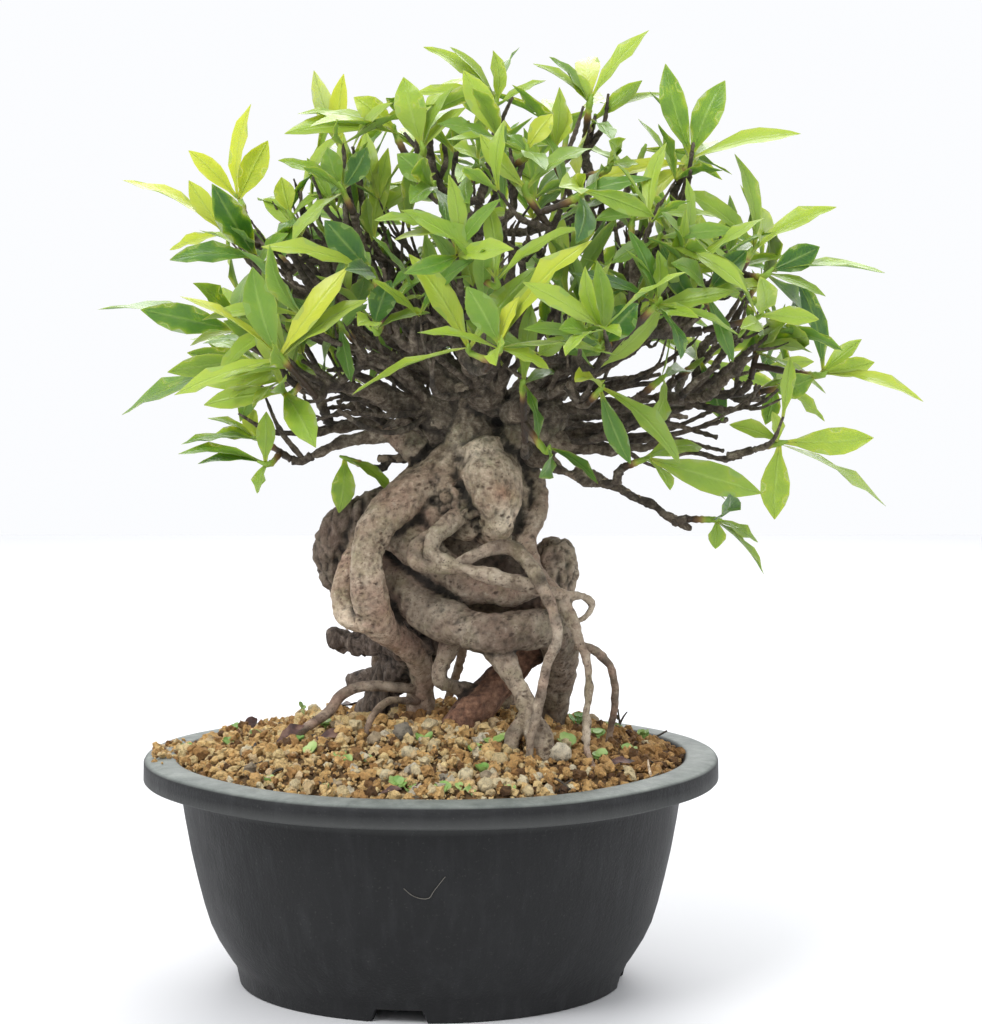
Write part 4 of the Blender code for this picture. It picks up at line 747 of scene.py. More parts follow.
def nearest_route(points, routes):
    """Number of the route whose surface is nearest to each point, and how far along it that is."""
    best = np.full(len(points), 1e9)
    which = np.zeros(len(points), dtype=int)
    place = np.zeros(len(points))
    for number, rows in enumerate(routes):
        along = distance_along(rows)
        gaps = np.sqrt(((points[:, None] - rows[None, :, :3]) ** 2).sum(axis=2)) - rows[None, :, 3]
        closest = gaps.argmin(axis=1)
        gap = gaps[np.arange(len(points)), closest]
        nearer = gap < best
        best = np.where(nearer, gap, best)
        which = np.where(nearer, number, which)
        place = np.where(nearer, along[closest], place)
    return which, place


def evened(values, quads, rounds):
    """Values of points, each averaged with its neighbours along the faces' edges a number of times."""
    ends = np.concatenate([quads[:, (k, (k + 1) % 4)] for k in range(4)])
    ends = np.vstack((ends, ends[:, ::-1]))
    count = np.bincount(ends[:, 0], minlength=len(values))[:, None]
    for _ in range(rounds):
        near = [np.bincount(ends[:, 0], weights=column[ends[:, 1]], minlength=len(values))
                for column in values.T]
        values = 0.3 * values + 0.7 * np.stack(near, axis=-1) / count
    return values


def hollowness(points, quads):
    """How far each point lies under the skin's average round it, in millimetres, near and farther off. Its
    normal there is the sum of its faces' normals, each the cross product of a face's diagonals."""
    faces = points[quads]
    across = np.cross(faces[:, 2] - faces[:, 0], faces[:, 3] - faces[:, 1])
    normals = unit(np.stack([np.bincount(quads.ravel(), weights=np.repeat(way, 4), minlength=len(points))
                             for way in across.T], axis=-1))
    close = evened(points, quads, 4)
    wide = evened(close, quads, 26)
    return ((close - points) * normals).sum(axis=1), ((wide - points) * normals).sum(axis=1)


def bark_relief(points, normals, quads, place, dead):
    """Points moved along their normals: lumps of three sizes, hollows made deeper, fine wrinkles across
    the root where a slow field opens them, splits along dead wood, and on the front the round scars, each
    a half ellipsoid with a furrow of exp(-gap^2) round it."""
    lift = 0.20 * ripple(points, 13.0, 1) + 0.13 * ripple(points, 5.0, 2) + 0.08 * ripple(points, 2.4, 3)
    lift -= 0.8 * np.clip(hollowness(points, quads)[1], 0, 1.4)
    wrinkle = np.sin(2 * np.pi * place / 2.4 + 2.2 * ripple(points, 16.0, 4))
    opened = np.clip(ripple(points, 20.0, 5) + 0.2, 0, 1.3)
    lift -= 0.32 * np.clip(wrinkle, 0.4, 1) * opened * ~dead
    lift += dead * (0.7 * np.abs(ripple(points * np.array((1, 1, 0.3)), 5.5, 6)) - 0.5)
    lift += dead * 0.35 * np.abs(ripple(points * np.array((1, 1, 0.4)), 2.6, 7))
    front = (points[:, 1] < -8) & (normals[:, 1] < -0.2)
    for x, z, radius, rise in SCARS:
        gap = np.hypot(points[:, 0] - x, points[:, 2] - z)
        dome = np.sqrt(np.clip(1 - (gap / radius) ** 2, 0, 1))
        lift += front * rise * (0.75 * dome - 0.6 * np.exp(-((gap - radius * 1.2) / 0.45) ** 2))
    return points + normals * lift[:, None]


def bark():
    """Bark: grey-beige with pinkish and mossy patches, dark breathing pores and fine specks. "shade" darkens
    or lightens it, both as the bark's own tone and as painted shade, "dark" turns it limb brown, "tone"
    weathers it, "red" makes it rusty and "moss" greens it."""
    made, tree, shader, here = principled("bark", 0.8)
    broad = noise_at(tree, here, 70.0, 6.0, 0.65, 0.5)
    fine = noise_at(tree, here, 520.0, 6.0, 0.7)
    base = ramp_of(tree, broad, (0.30, (0.135, 0.098, 0.066)), (0.44, (0.235, 0.185, 0.135)),
                   (0.56, (0.335, 0.275, 0.205)), (0.70, (0.47, 0.40, 0.31)))
    pink = grey_of(tree, noise_at(tree, here, 45.0, 5.0, 0.6), (0.47, 0.0), (0.64, 0.65))
    base = mixed(tree, pink, base, (0.235, 0.135, 0.100))
    mossy = grey_of(tree, noise_at(tree, here, 110.0, 6.0, 0.7), (0.50, 0.0), (0.72, 0.5))
    base = mixed(tree, mossy, base, (0.19, 0.185, 0.085))
    green = grey_of(tree, noise_at(tree, here, 190.0, 6.0, 0.75), (0.40, 0.0), (0.60, 1.0))
    green = reckoned(tree, "MULTIPLY", green, value_of(tree, "moss"))
    base = mixed(tree, green, base, (0.115, 0.120, 0.062))
    grain = grey_of(tree, fine, (0.36, 0.75), (0.50, 0.0))
    base = mixed(tree, grain, base, (0.095, 0.062, 0.040))
    glints = grey_of(tree, fine, (0.56, 0.0), (0.72, 0.5))
    base = mixed(tree, glints, base, (0.55, 0.48, 0.38))
    for scale, wide, few in ((330.0, 0.32, 0.47), (760.0, 0.28, 0.44)):
        pores = tree.nodes.new("ShaderNodeTexVoronoi")
        pores.inputs["Scale"].default_value = scale
        wobble = mixed(tree, 0.0015, here, noise_at(tree, here, scale * 2, 2.0))
        tree.links.new(stretched(tree, wobble, (1.0, 1.0, 1.6)), pores.inputs["Vector"])
        thin_out = grey_of(tree, noise_at(tree, here, scale * 0.35, 2.0), (few, 0.0), (few + 0.1, 0.9))
        pore = grey_of(tree, pores.outputs["Distance"], (wide * 0.4, 1.0), (wide, 0.0))
        base = mixed(tree, reckoned(tree, "MULTIPLY", pore, thin_out), base, (0.050, 0.030, 0.020))
    rust = ramp_of(tree, fine, (0.35, (0.045, 0.018, 0.010)), (0.50, (0.130, 0.050, 0.026)),
                   (0.68, (0.25, 0.125, 0.070)))
    base = mixed(tree, value_of(tree, "red"), base, rust)
    limb = ramp_of(tree, fine, (0.34, (0.030, 0.021, 0.014)), (0.50, (0.088, 0.068, 0.048)),
                   (0.62, (0.165, 0.138, 0.102)), (0.74, (0.27, 0.24, 0.185)))
    base = mixed(tree, value_of(tree, "dark"), base, limb)
    along = noise_at(tree, stretched(tree, here, (1.0, 1.0, 0.4)), 330.0, 6.0, 0.75, 1.0)
    old = ramp_of(tree, along, (0.36, (0.016, 0.012, 0.010)), (0.48, (0.075, 0.055, 0.043)),
                  (0.60, (0.17, 0.135, 0.112)), (0.72, (0.30, 0.255, 0.215)))
    base = mixed(tree, value_of(tree, "tone"), base, old)
    shaded = mixed(tree, 1.0, base, value_of(tree, "shade"), "MULTIPLY")
    tree.links.new(shaded, shader.inputs["Base Color"])
    bumped(tree, shader, ((broad, 0.0010), (fine, 0.0014)))
    return made


def dress(piece, points, quads, tone=0.0, red=0.0, dark=0.0, moss=0.0, shade=1.0):
    """Puts the bark's five values on a piece; where it has quads, hollows get painted shade and ridges are
    painted paler.
    """
    shade = np.full(len(points), 1.0) * shade
    if quads is not None:
        # Painted shade: hollows and creases are darkened, and ridges are painted lighter, as light falls on
        # them.
        close, wide = hollowness(points, quads)
        shade = shade * np.clip(1 - 2.8 * np.clip(close, -0.06, 0.3), 0.25, 1.15)
        shade = shade * np.clip(1.03 - 0.42 * wide, 0.14, 1.2)
    for name, values in (("tone", tone), ("red", red), ("dark", dark), ("moss", moss), ("shade", shade)):
        with_value(piece, name, np.full(len(points), 1.0) * values)


def by_route(which, values, other):
    """Value of each point's route, from a table of names, and other for the rest."""
    levels = np.array([values.get(name, other) for name in ROOTS] + [other] * len(limb_routes))
    return levels[which]


routes = [through(rows, ROUTE_STEP) for rows in ROOTS.values()]
limb_routes = [narrowed(through(rows, ROUTE_STEP)) for rows in LIMBS]
thick = [number for number, rows in enumerate(ROOTS.values()) if max(row[3] for row in rows) > THIN_ROOT]
solids = [ringed(routes[number], ROOT_SIDES, number, 0.05, 0.02) for number in thick]
solids += [ringed(through(filling, ROUTE_STEP), ROOT_SIDES, 90 + k) for k, filling in enumerate(FILLINGS)]
solids += [ringed(rows[:LIMB_START], LIMB_SIDES, 100 + number, 0.09, 0.06)
           for number, rows in enumerate(limb_routes)]
grown, outward, quads = grown_together("wood", solids, VOXEL, 2)
which, place = nearest_route(grown, routes + limb_routes)
is_dead = by_route(which, WEATHERED, 0.0) > 0
bark_points = bark_relief(grown, outward, quads, place, is_dead)
bark_skin = bark()
trunk = piece_from("trunk_and_roots", bark_points, quads.tolist(), bark_skin)
x, y, z = grown.T
neck = np.clip((z + 1.6 * ripple(grown, 9.0, 17) - NECK) / NECK_DEPTH, 0, 1)
rusty = np.exp(-((x - RUSTY_SPOT[0]) / 4.5) ** 2 - ((z - RUSTY_SPOT[1]) / 3.6) ** 2) * (y < -6)
# SHADES puts painted shade on the core, the great band and the parts at the back, and paler bark elsewhere.
by_name = [by_route(which, *table) for table in ((WEATHERED, 0.0), (RED, 0.0), (SHADES, USUAL_SHADE))]
tone, red, shade = evened(np.stack(by_name, axis=-1), quads, 5).T
dress(trunk, bark_points, quads, tone=tone, red=np.clip(red + 0.6 * rusty, 0, 0.9),
      dark=np.clip(neck * 1.1 - 0.1, 0, 0.95), moss=np.clip(neck * 1.2 + 0.25 * (z > 132), 0, 1), shade=shade)
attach(trunk, "root")
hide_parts("tree")


# Thin roots: fine roots that were bared with the thick ones, and dried hard over those that they cross.
# Each is a strand of its own that leaves a thicker root, and most of them end in the soil.
STRAND_STEP = 0.7
STRAND_SIDES = 14

strands = {number: ringed(through(rows, STRAND_STEP), STRAND_SIDES, 60 + number, 0.08, 0.04)
           for number, rows in enumerate(ROOTS.values()) if number not in thick}
points, faces = joined(strands.values())
strand_route = np.concatenate([np.full(len(strand[0]), number) for number, strand in strands.items()])
lumps = 0.09 * ripple(points, 2.0, 8) + 0.10 * ripple(points, 4.5, 9)
root_strands = piece_from("thin_roots", points + lumps[:, None] * (0.6, 0.6, 0.3), faces, bark_skin)
dress(root_strands, points, None, red=by_route(strand_route, RED, 0.08),
      shade=1.05 + 0.2 * ripple(points, 5.0, 10))
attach(root_strands, "root")
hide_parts("tree")


# Limbs: they burst from the top of the trunk as a knot of thick, short-pruned branches, and were wired
# outwards. Their bark is darker and rougher than the trunk's.
def gnarled(rows, seed):
    """Rows whose path wanders by 0.4 mm and whose radius swells at every old leaf scar, thins by a
    quarter between 22 and 52 mm along, and narrows to 0.6 of itself over the last 5 mm."""
    along = distance_along(rows)
    wander = np.stack([ripple(rows[:, :3], 9.0, seed + k) for k in range(3)], axis=-1)
    wander = 0.4 * wander * np.clip(along / 8, 0, 1)[:, None]
    knots = np.clip(np.sin(2 * np.pi * along / 4.3 + 1.5 * ripple(rows[:, :3], 15.0, seed)), 0.5, 1) - 0.5
    slim = 1 - 0.25 * np.clip((along - 22) / 30, 0, 1)
    end = np.clip(0.6 + (along[-1] - along) / 12, 0, 1)
    return np.column_stack((rows[:, :3] + wander, (rows[:, 3] * slim + 0.5 * knots) * end))


solids = [ringed(gnarled(rows, 100 + number), LIMB_SIDES, 100 + number, 0.10, 0.05)
          for number, rows in enumerate(limb_routes)]
grown, outward, quads = grown_together("limbs", solids, VOXEL * 0.85, 2)
rough = grown + outward * (0.18 * ripple(grown, 6.0, 11) + 0.15 * np.abs(ripple(grown, 2.6, 12)))[:, None]
limbs = piece_from("limbs", rough, quads.tolist(), bark_skin)
dress(limbs, grown, quads, dark=1.0, red=np.clip(0.08 + 0.2 * ripple(grown, 25.0, 13), 0, 0.3),
      shade=np.clip(1 + 0.3 * ripple(grown, 14.0, 14), 0.5, 1.6))
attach(limbs, "root")
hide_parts("tree")


# Twigs: one from the nearest limb to each spray, thin and brown, ringed by the scars of dropped leaves
# every few millimetres. Short side twigs and dead snags fill the crown between them.
CANOPY_CENTRE = np.array((20.0, 4.0, 169.0))
TRUNK_TOP = np.array((14.0, 0.0, 173.0))
MAX_SPRAYS = 57
# Shoots behind: their number, the middle and half width and depth of the dome that they stand on, and
# the heights that they start at and rise through
BACK_SHOOTS = 30
DOME = (22, 6, 86, 72)
DOME_FROM = 180
DOME_RISE = 80
# A spray's green stem: its length and radius below the base of the leaves, the share of it at which a
# second stem forks off, and the bud's length beyond
STUB_LENGTH = 6.5
STUB_RADIUS = 1.15
FORK_PLACE = 0.37
BUD_LENGTH = 4.0
# A twig ends this far before its spray's solid starts
TWIG_GAP = 0.75
# Side twigs in all, and thin shoots beside each limb, with more on the left and the far right
SIDE_TWIGS = 380
COMPANIONS = 3
MORE_LEFT = 4
MORE_RIGHT = 1

# Shoots seen from the front: x, depth y and z of the base, then its leaves. A leaf is the x and z
# of its tip, whether it leans to the viewer (-1), away (1) or neither (0), and the width it shows.
# x and z are measured in the plane of the trunk, along sight lines from the eye.
FRONT_SHOOTS = (
    ((-61, -8, 228), ((-93, 245, 0, 2.5), (-73, 245, 0, 6.5), (-79, 224, 0, 3.5))),
    ((-57, 4, 238), ((-73, 254, 0, 6), (-54, 268, 0, 5), (-49, 257, 0, 8.5))),
    ((-51, -28, 220), ((-66, 244, -1, 9.5), (-79, 221, 0, 6), (-70, 230, 0, 1.5), (-43, 229, -1, 4.5))),
    ((-41, -12, 233), ((-45, 246, 0, 6.5), (-52, 239, 1, 3.5), (-32, 241, 0, 2.5), (-44, 222, -1, 6))),
    ((-45, -52, 191), ((-76, 210, 0, 1.5), (-54, 219, 0, 9.5), (-25, 219, 0, 7), (-19, 209, 0, 6),
                       (-78, 180, 0, 5.5))),
    ((-58, -22, 199), ((-101, 206, 0, 3), (-88, 206, 0, 9), (-72, 214, -1, 5), (-55, 217, 1, 5),
                       (-73, 195, 0, 2))),
    ((-51, -6, 189), ((-80, 187, 0, 7), (-94, 174, 0, 3.5), (-73, 197, 1, 4.5), (-58, 172, 0, 6))),
    ((-43, -36, 180), ((-69, 177, 0, 6.5), (-35, 164, -1, 9))),
    ((-51, -4, 166), ((-68, 173, 0, 2.5), (-66, 168, 0, 4.5), (-55, 177, 0, 5), (-76, 165, 0, 1.5))),
    ((-49, -12, 159), ((-77, 162, 0, 2.5), (-71, 159, 0, 3.5), (-50, 175, 0, 6), (-53, 150, 0, 4))),
    ((-26, -30, 241), ((-31, 255, 0, 6.5), (-38, 249, 0, 4.5), (-19, 255, 0, 7), (-46, 251, 0, 2.5),
                       (-42, 226, -1, 3.5))),
    ((-26, 12, 252), ((-35, 278, 0, 6.5), (-26, 277, 0, 5.5))),
    ((-10, -15, 258), ((-23, 270, 0, 7.5), (-40, 265, 0, 3.5), (-44, 259, 0, 5.5))),
    ((-2, -28, 253), ((-8, 276, 0, 9.5), (7, 273, 0, 2.5), (11, 267, 0, 3.5), (8, 266, 1, 5))),
    ((2, -38, 241), ((-10, 253, 0, 8), (-6, 238, -1, 5), (5, 231, -1, 4.5))),
    ((21, -30, 255), ((10, 278, 0, 8), (2, 262, 0, 3.5), (33, 252, 0, 4.5))),
    ((20, -5, 267), ((-2, 285, 0, 4.5), (-5, 271, 0, 4), (6, 285, 0, 1.5), (19, 284, 0, 5), (27, 285, 1, 2.5),
                     (35, 275, 0, 2.5))),
    ((29, -42, 252), ((37, 265, 0, 6.5), (23, 259, 0, 3.5), (35, 248, -1, 4.5))),
    ((37, -22, 252), ((41, 268, 0, 6), (39, 273, 0, 5), (32, 265, 1, 3.5))),
    ((29, -56, 241), ((44, 259, 0, 6.5), (15, 259, 0, 6))),
    ((14, -46, 248), ((7, 255, -1, 2.5), (21, 252, -1, 2.5), (12, 238, -1, 3.5))),
    ((7, -62, 228), ((12, 240, 0, 5), (-17, 233, 0, 3.5), (-11, 227, 0, 2.5), (13, 213, 0, 6))),
    ((20, -70, 213), ((-9, 236, 0, 4.5), (47, 231, 0, 3.5))),
    ((21, -78, 194), ((11, 213, 0, 8.5), (27, 210, 0, 4.5), (49, 227, 0, 5.5), (57, 192, 0, 2),
                      (36, 188, 0, 3.5), (-4, 199, 0, 2), (20, 189, -1, 4.5))),
    ((12, -66, 193), ((-24, 180, 0, 2), (33, 219, 1, 6))),
    ((-17, -44, 216), ((-32, 233, 0, 9.5), (-26, 218, -1, 6), (-24, 225, 1, 4.5))),
    ((-16, -54, 199), ((-12, 215, 0, 8), (5, 220, 0, 1.5), (0, 205, 0, 2), (-22, 201, -1, 2.5))),
    ((-26, -38, 200), ((-24, 184, 0, 4.5), (-37, 209, 0, 4.5), (-32, 187, 1, 3))),
    ((48, -14, 267), ((66, 290, 0, 4.5), (48, 282, 1, 8), (43, 277, 0, 5), (31, 280, 0, 2), (36, 282, 0, 2))),
    ((49, -4, 261), ((64, 275, 0, 5.5), (71, 271, 0, 2.5), (45, 245, -1, 2.5), (55, 257, -1, 3))),
    ((78, -14, 250), ((71, 280, 0, 8), (89, 275, 0, 9), (112, 259, 0, 4), (91, 255, 1, 3.5),
                      (66, 272, 0, 1.5), (49, 244, 0, 4.5), (62, 238, 0, 5.5))),
    ((45, -58, 240), ((68, 234, 0, 6), (39, 243, -1, 3), (47, 247, -1, 3.5), (44, 226, -1, 6))),
    ((53, -22, 248), ((54, 257, -1, 2.5), (58, 254, -1, 2.5), (63, 250, 0, 3), (50, 241, -1, 3))),
    ((61, -44, 232), ((83, 235, 0, 4), (50, 233, 0, 3.5), (64, 242, 1, 4.5))),
    ((68, -50, 226), ((81, 207, 0, 6), (93, 230, 0, 4.5), (55, 220, 0, 4.5))),
    ((97, -12, 223), ((76, 242, 0, 5), (92, 253, 0, 5), (96, 240, 0, 2.5), (100, 237, -1, 2.5),
                      (123, 237, 0, 4.5))),
    ((101, -24, 216), ((118, 225, 0, 8), (138, 217, 0, 1.5), (120, 210, 0, 3), (114, 203, 1, 3.5))),
    ((98, -44, 203), ((100, 216, -1, 6), (118, 203, 0, 5), (78, 230, 0, 2.5))),
    ((68, -64, 207), ((60, 230, 0, 4.5), (69, 224, 0, 4.5), (43, 217, 0, 2.5), (94, 198, 0, 2.5),
                      (76, 191, -1, 3.5))),
    ((83, -50, 210), ((96, 224, 0, 7.5), (94, 211, 0, 4), (92, 190, 0, 5), (73, 220, -1, 4.5))),
    ((51, -70, 194), ((53, 217, 0, 6), (63, 208, 0, 9), (39, 200, -1, 3))),
    ((51, -52, 181), ((76, 159, 0, 5.5), (44, 184, -1, 2.5), (61, 159, 0, 6))),
    ((100, -6, 196), ((108, 202, -1, 6), (111, 195, 0, 3.5), (93, 203, 1, 3.5))),
    ((117, -16, 186), ((111, 215, 0, 6), (131, 197, 0, 5), (135, 190, 0, 6), (150, 178, 0, 3.5),
                       (105, 181, 0, 8))),
    ((103, 10, 183), ((100, 193, 0, 3.5), (102, 171, 0, 6), (120, 172, 0, 2.5))),
    ((105, -30, 165), ((135, 167, 0, 8.5), (91, 171, 0, 4.5), (105, 142, 0, 9), (139, 146, 0, 1.5),
                       (104, 175, 0, 3.5))),
    ((64, -40, 160), ((101, 150, 0, 9.5), (90, 148, 0, 3), (73, 151, -1, 1.5), (83, 164, 1, 6))),
    ((85, -22, 142), ((87, 133, 0, 5), (100, 135, 0, 3), (102, 125, 0, 2), (91, 150, -1, 3))),
    ((80, 0, 189), ((89, 172, 0, 7), (73, 195, 1, 3.5))),
    ((69, -26, 184), ((66, 170, -1, 4.5), (79, 187, 1, 3.5))),
    ((28, -38, 182), ((33, 166, 0, 3.5), (39, 187, 1, 3))),
    ((35, -36, 163), ((51, 153, 0, 3), (33, 155, -1, 3))),
    ((-24, -2, 160), ((-28, 144, 0, 7.5), (-12, 150, 0, 3.5))),
)
# Outline of the dense crown from the front, x and z in the trunk's plane. Leaves by rule stay inside it.
CROWN_OUTLINE = (
    (-80, 193), (-75, 220), (-60, 240), (-48, 244), (-42, 257), (-33, 267), (-15, 269), (-1, 278), (21, 276),
    (39, 272), (51, 273), (72, 263), (86, 261), (97, 238), (111, 229), (119, 200), (128, 193), (126, 183),
    (105, 171), (79, 194), (64, 197), (39, 179), (12, 193), (-20, 204), (-34, 193), (-43, 181), (-59, 172),
    (-71, 179))


def from_front(x, y, z):
    """Point at depth y that shows at x, z in the plane of the trunk."""
    scale = (y - EYE[1]) / -EYE[1]
    return np.array((EYE[0] + (x - EYE[0]) * scale, y, EYE[2] + (z - EYE[2]) * scale))


def in_crown(point):
    """True where a point shows inside the crown's outline from the front."""
    scale = -EYE[1] / (point[1] - EYE[1])
    x, z = EYE[0] + (point[0] - EYE[0]) * scale, EYE[2] + (point[2] - EYE[2]) * scale
    inside = False
    for (ax, az), (bx, bz) in zip(CROWN_OUTLINE, CROWN_OUTLINE[1:] + CROWN_OUTLINE[:1]):
        if (az > z) != (bz > z) and x < ax + (bx - ax) * (z - az) / (bz - az):
            inside = not inside
    return inside


def canopy_axis(base):
    """Direction in which a shoot at base grows: out from the canopy's middle and a little up."""
    return unit(base - CANOPY_CENTRE + np.array((0.0, 0.0, 26.0)))


def list_shoots():
    """Base, axis and front leaves of each shoot: those seen from the front, then those of a half dome
    behind, which narrows upwards as an ellipse does, and round which they step by the golden ratio."""
    shoots = []
    for (x, y, z), leaves in FRONT_SHOOTS:
        base = from_front(x, y, z)
        shoots.append({"base": base, "axis": canopy_axis(base), "leaves": leaves})
    rng = random.Random(5)
    for number in range(BACK_SHOOTS):
        height = (number + 0.5) / BACK_SHOOTS
        turn = math.pi * ((number * 0.618034) % 1.0)
        z = DOME_FROM + DOME_RISE * height + rng.uniform(-3, 3)
        spread = math.sqrt(max(0.04, 1 - (max(z, 169) - 169) ** 2 / 98 ** 2)) * rng.uniform(0.9, 1.04)
        x, y, wide, deep = DOME
        base = np.array((x + wide * spread * math.cos(turn), y + deep * spread * math.sin(turn), z))
        shoots.append({"base": base, "axis": canopy_axis(base), "leaves": ()})
    return shoots


def share_sprays(shoots):
    """Sprays of one or two shoots: the pairs that stand closest share a forked spray."""
    singles = list(range(len(shoots)))
    pairs = []
    gaps = sorted((float(np.linalg.norm(shoots[a]["base"] - shoots[b]["base"])), a, b)
                  for a in singles for b in singles if a < b)
    for _, a, b in gaps:
        if len(singles) + len(pairs) <= MAX_SPRAYS:
            break
        if a in singles and b in singles:
            singles.remove(a)
            singles.remove(b)
            pairs.append((a, b))
    return sorted(pairs + [(single,) for single in singles])


def spray_stems(members):
    """Start, direction and rows of a spray's green stems; a second stem forks off inside the first."""
    axis = unit(sum(shoot["axis"] for shoot in members))
    middle = sum(shoot["base"] for shoot in members) / len(members)
    spread = max(float(np.linalg.norm(shoot["base"] - middle)) for shoot in members)
    start = middle - axis * max(STUB_LENGTH, 0.9 * spread + 3.0)
    first = members[0]["base"]
    fork = start + (first - start) * FORK_PLACE
    stems = []
    for foot, shoot in zip((start, fork), members):
        bud = shoot["base"] + shoot["axis"] * BUD_LENGTH
        stems.append(((*foot, STUB_RADIUS), (*shoot["base"], STUB_RADIUS), (*bud, 0.5)))
    return start, unit(first - start), stems


def grow_twigs(starts):
    """Twigs from the limbs to each spray: the nearest wood that lies behind it carries it, and a farther
    piece is preferred the nearer it is to the trunk. Each is a quadratic curve that ends along the stem."""
    nodes = []
    for limb in LIMBS:
        rows = np.array(limb, dtype=float)
        for a, b in zip(rows[:-1], rows[1:]):
            count = max(2, int(np.linalg.norm(b[:3] - a[:3]) / 4))
            nodes += [a + (b - a) * step / count for step in range(count)]
        nodes.append(rows[-1] + (rows[-2] - rows[-1]) * 0.1)
    rng = random.Random(21)
    twigs = []
    order = sorted(range(len(starts)), key=lambda k: float(np.linalg.norm(starts[k][0] - TRUNK_TOP)))
    for k in order:
        end, grow = starts[k]
        end = end - grow * TWIG_GAP
        best, best_cost = None, 1e9
        for node in nodes:
            reach = end - node[:3]
            length = float(np.linalg.norm(reach))
            if length < 5 or reach.dot(grow) < 0.25 * length:
                continue
            cost = length + 0.25 * float(np.linalg.norm(node[:3] - TRUNK_TOP)) * (length > 12)
            if cost < best_cost:
                best, best_cost = node, cost
        length = float(np.linalg.norm(end - best[:3]))
        bend = end - grow * 0.45 * length
        rows = []
        thick = min(best[3] * 0.85, STUB_RADIUS + 0.012 * length + 0.1)
        for step in (0.0, 0.5, 1.0):
            point = best[:3] * (1 - step) ** 2 + bend * 2 * step * (1 - step) + end * step ** 2
            if 0 < step < 0.7:
                point = point + np.array([rng.uniform(-1, 1) for _ in range(3)]) * 0.03 * length
            radius = thick + (STUB_RADIUS - thick) * step
            rows.append(np.array((*point, radius)))
        nodes += rows[1:2]
        twigs.append(rows)
    return twigs


def scarred(rows, gap, rise):
    """A twig's rows with a short bell-shaped swelling, rise thick, at every leaf scar, about gap apart."""
    along = distance_along(rows)
    beat = (along + 0.4 * np.sin(along * 1.7)) / gap
    wave = np.exp(-((beat - np.round(beat)) * gap / 0.45) ** 2)
    return np.column_stack((rows[:, :3], rows[:, 3] + rise * wave))


def side_twigs(hosts, count):
    """Short twigs that leave a random place on a host away from the crown's middle, bend up and thin out.
    Most that would end outside the crown's outline are left out."""
    rng = np.random.default_rng(77)
    made = []
    while len(made) < count:
        host = hosts[rng.integers(len(hosts))]
        row = host[rng.integers(len(host) // 3, len(host))]
        outward = unit(row[:3] - CANOPY_CENTRE + rng.normal(scale=30, size=3))
        up = np.array((0, 0, 1.0))
        length = rng.uniform(9, 26)
        way = unit(outward + 0.5 * up * rng.uniform(-0.3, 1.0))
        knee = row[:3] + way * length * 0.5
        tip = knee + unit(way + 0.5 * up + rng.normal(scale=0.3, size=3)) * length * 0.5
        thick = min(row[3] * 0.75, 1.0)
        if not in_crown(tip) and (rng.random() < 0.75 or tip[1] < 0):
            continue
        made.append(through(((*row[:3], thick), (*knee, thick * 0.85), (*tip, thick * 0.4)), 1.1))
    return made


def companions(hosts, each):
    """Thin old shoots that leave a limb near its foot and run beside it: its own route, moved sideways
    by 5 to 12 mm along a slow arc, and ended at a random share of its length. Only those that end
    inside the crown stay, or not far below it at the sides."""
    rng = np.random.default_rng(58)
    made = []
    for host in hosts:
        left, right = host[-1, 0] < 0, host[-1, 0] > 60
        for _ in range(each + MORE_LEFT * left + MORE_RIGHT * right):
            rows = host[len(host) // 6:int(len(host) * rng.uniform(0.75, 1.0))].copy()
            if len(rows) < 8:
                continue
            share = np.linspace(0, 1, len(rows))[:, None]
            sideways = unit(np.cross(rows[-1, :3] - rows[0, :3], rng.normal(size=3)))
            reach = rng.uniform(5, 12) + rows[0, 3]
            rows[:, :3] += sideways * reach * np.sin(np.pi * share * rng.uniform(0.45, 0.9))
            rows[:, 3] = np.linspace(1.1, 0.5, len(rows))
            if in_crown(rows[-1, :3]) or (left and rows[-1, 2] > 166) or (right and rows[-1, 2] > 162):
                made.append(through(rows[::6] if len(rows) > 20 else rows, 1.1))
    return made


shoots = list_shoots()
sprays = share_sprays(shoots)
stems = [spray_stems([shoots[member] for member in spray]) for spray in sprays]
twig_routes = [through(rows, 0.8) for rows in grow_twigs([(start, way) for start, way, _ in stems])]
beside = companions(limb_routes, COMPANIONS)
extra_routes = side_twigs(twig_routes + limb_routes + beside, SIDE_TWIGS)
solids = []
for group, gap, rise, sides, seed, swell in ((twig_routes, 3.1, 0.34, 8, 200, 0.08),
                                             (extra_routes, 2.6, 0.26, 6, 400, 0.08),
                                             (beside, 3.3, 0.36, 7, 900, 0.06)):
    solids += [ringed(scarred(rows, gap, rise), sides, seed + k, 0.1, swell) for k, rows in enumerate(group)]
points, faces = joined(solids)
twigs = piece_from("twigs", points, faces, bark_skin)
dress(twigs, points, None, dark=1.0, red=np.clip(0.22 + 0.35 * ripple(points, 30.0, 15), 0, 0.62),
      shade=np.clip(1.12 + 0.35 * ripple(points, 9.0, 16), 0.5, 1.8))
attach(twigs, "root")
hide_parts("tree")


# Green shoots: this year's growth at the end of each twig, smooth and soft, with a bud at its tip. It
# ripens from green to yellowish brown where it joins the twig.
GREEN_SHARE = 0.8
RIPE_FROM = 3.0
RIPE_OVER = 6.5


def shoot_skin():
    """Young skin: green at the tip, flushed yellow and orange below it, and then twig brown."""
    made, tree, shader, here = principled("young skin", 0.5)
    patches = noise_at(tree, here, 260.0, 4.0, 0.6)
    ripe = reckoned(tree, "MULTIPLY_ADD", patches, 0.3, value_of(tree, "young"))
    base = ramp_of(tree, ripe, (0.20, (0.045, 0.028, 0.016)), (0.45, (0.130, 0.065, 0.022)),
                   (0.62, (0.27, 0.17, 0.05)), (0.80, (0.34, 0.38, 0.05)), (1.0, (0.22, 0.36, 0.035)))
    tree.links.new(base, shader.inputs["Base Color"])
    bumped(tree, shader, ((noise_at(tree, here, 900.0, 3.0), 0.0004),))
    return made


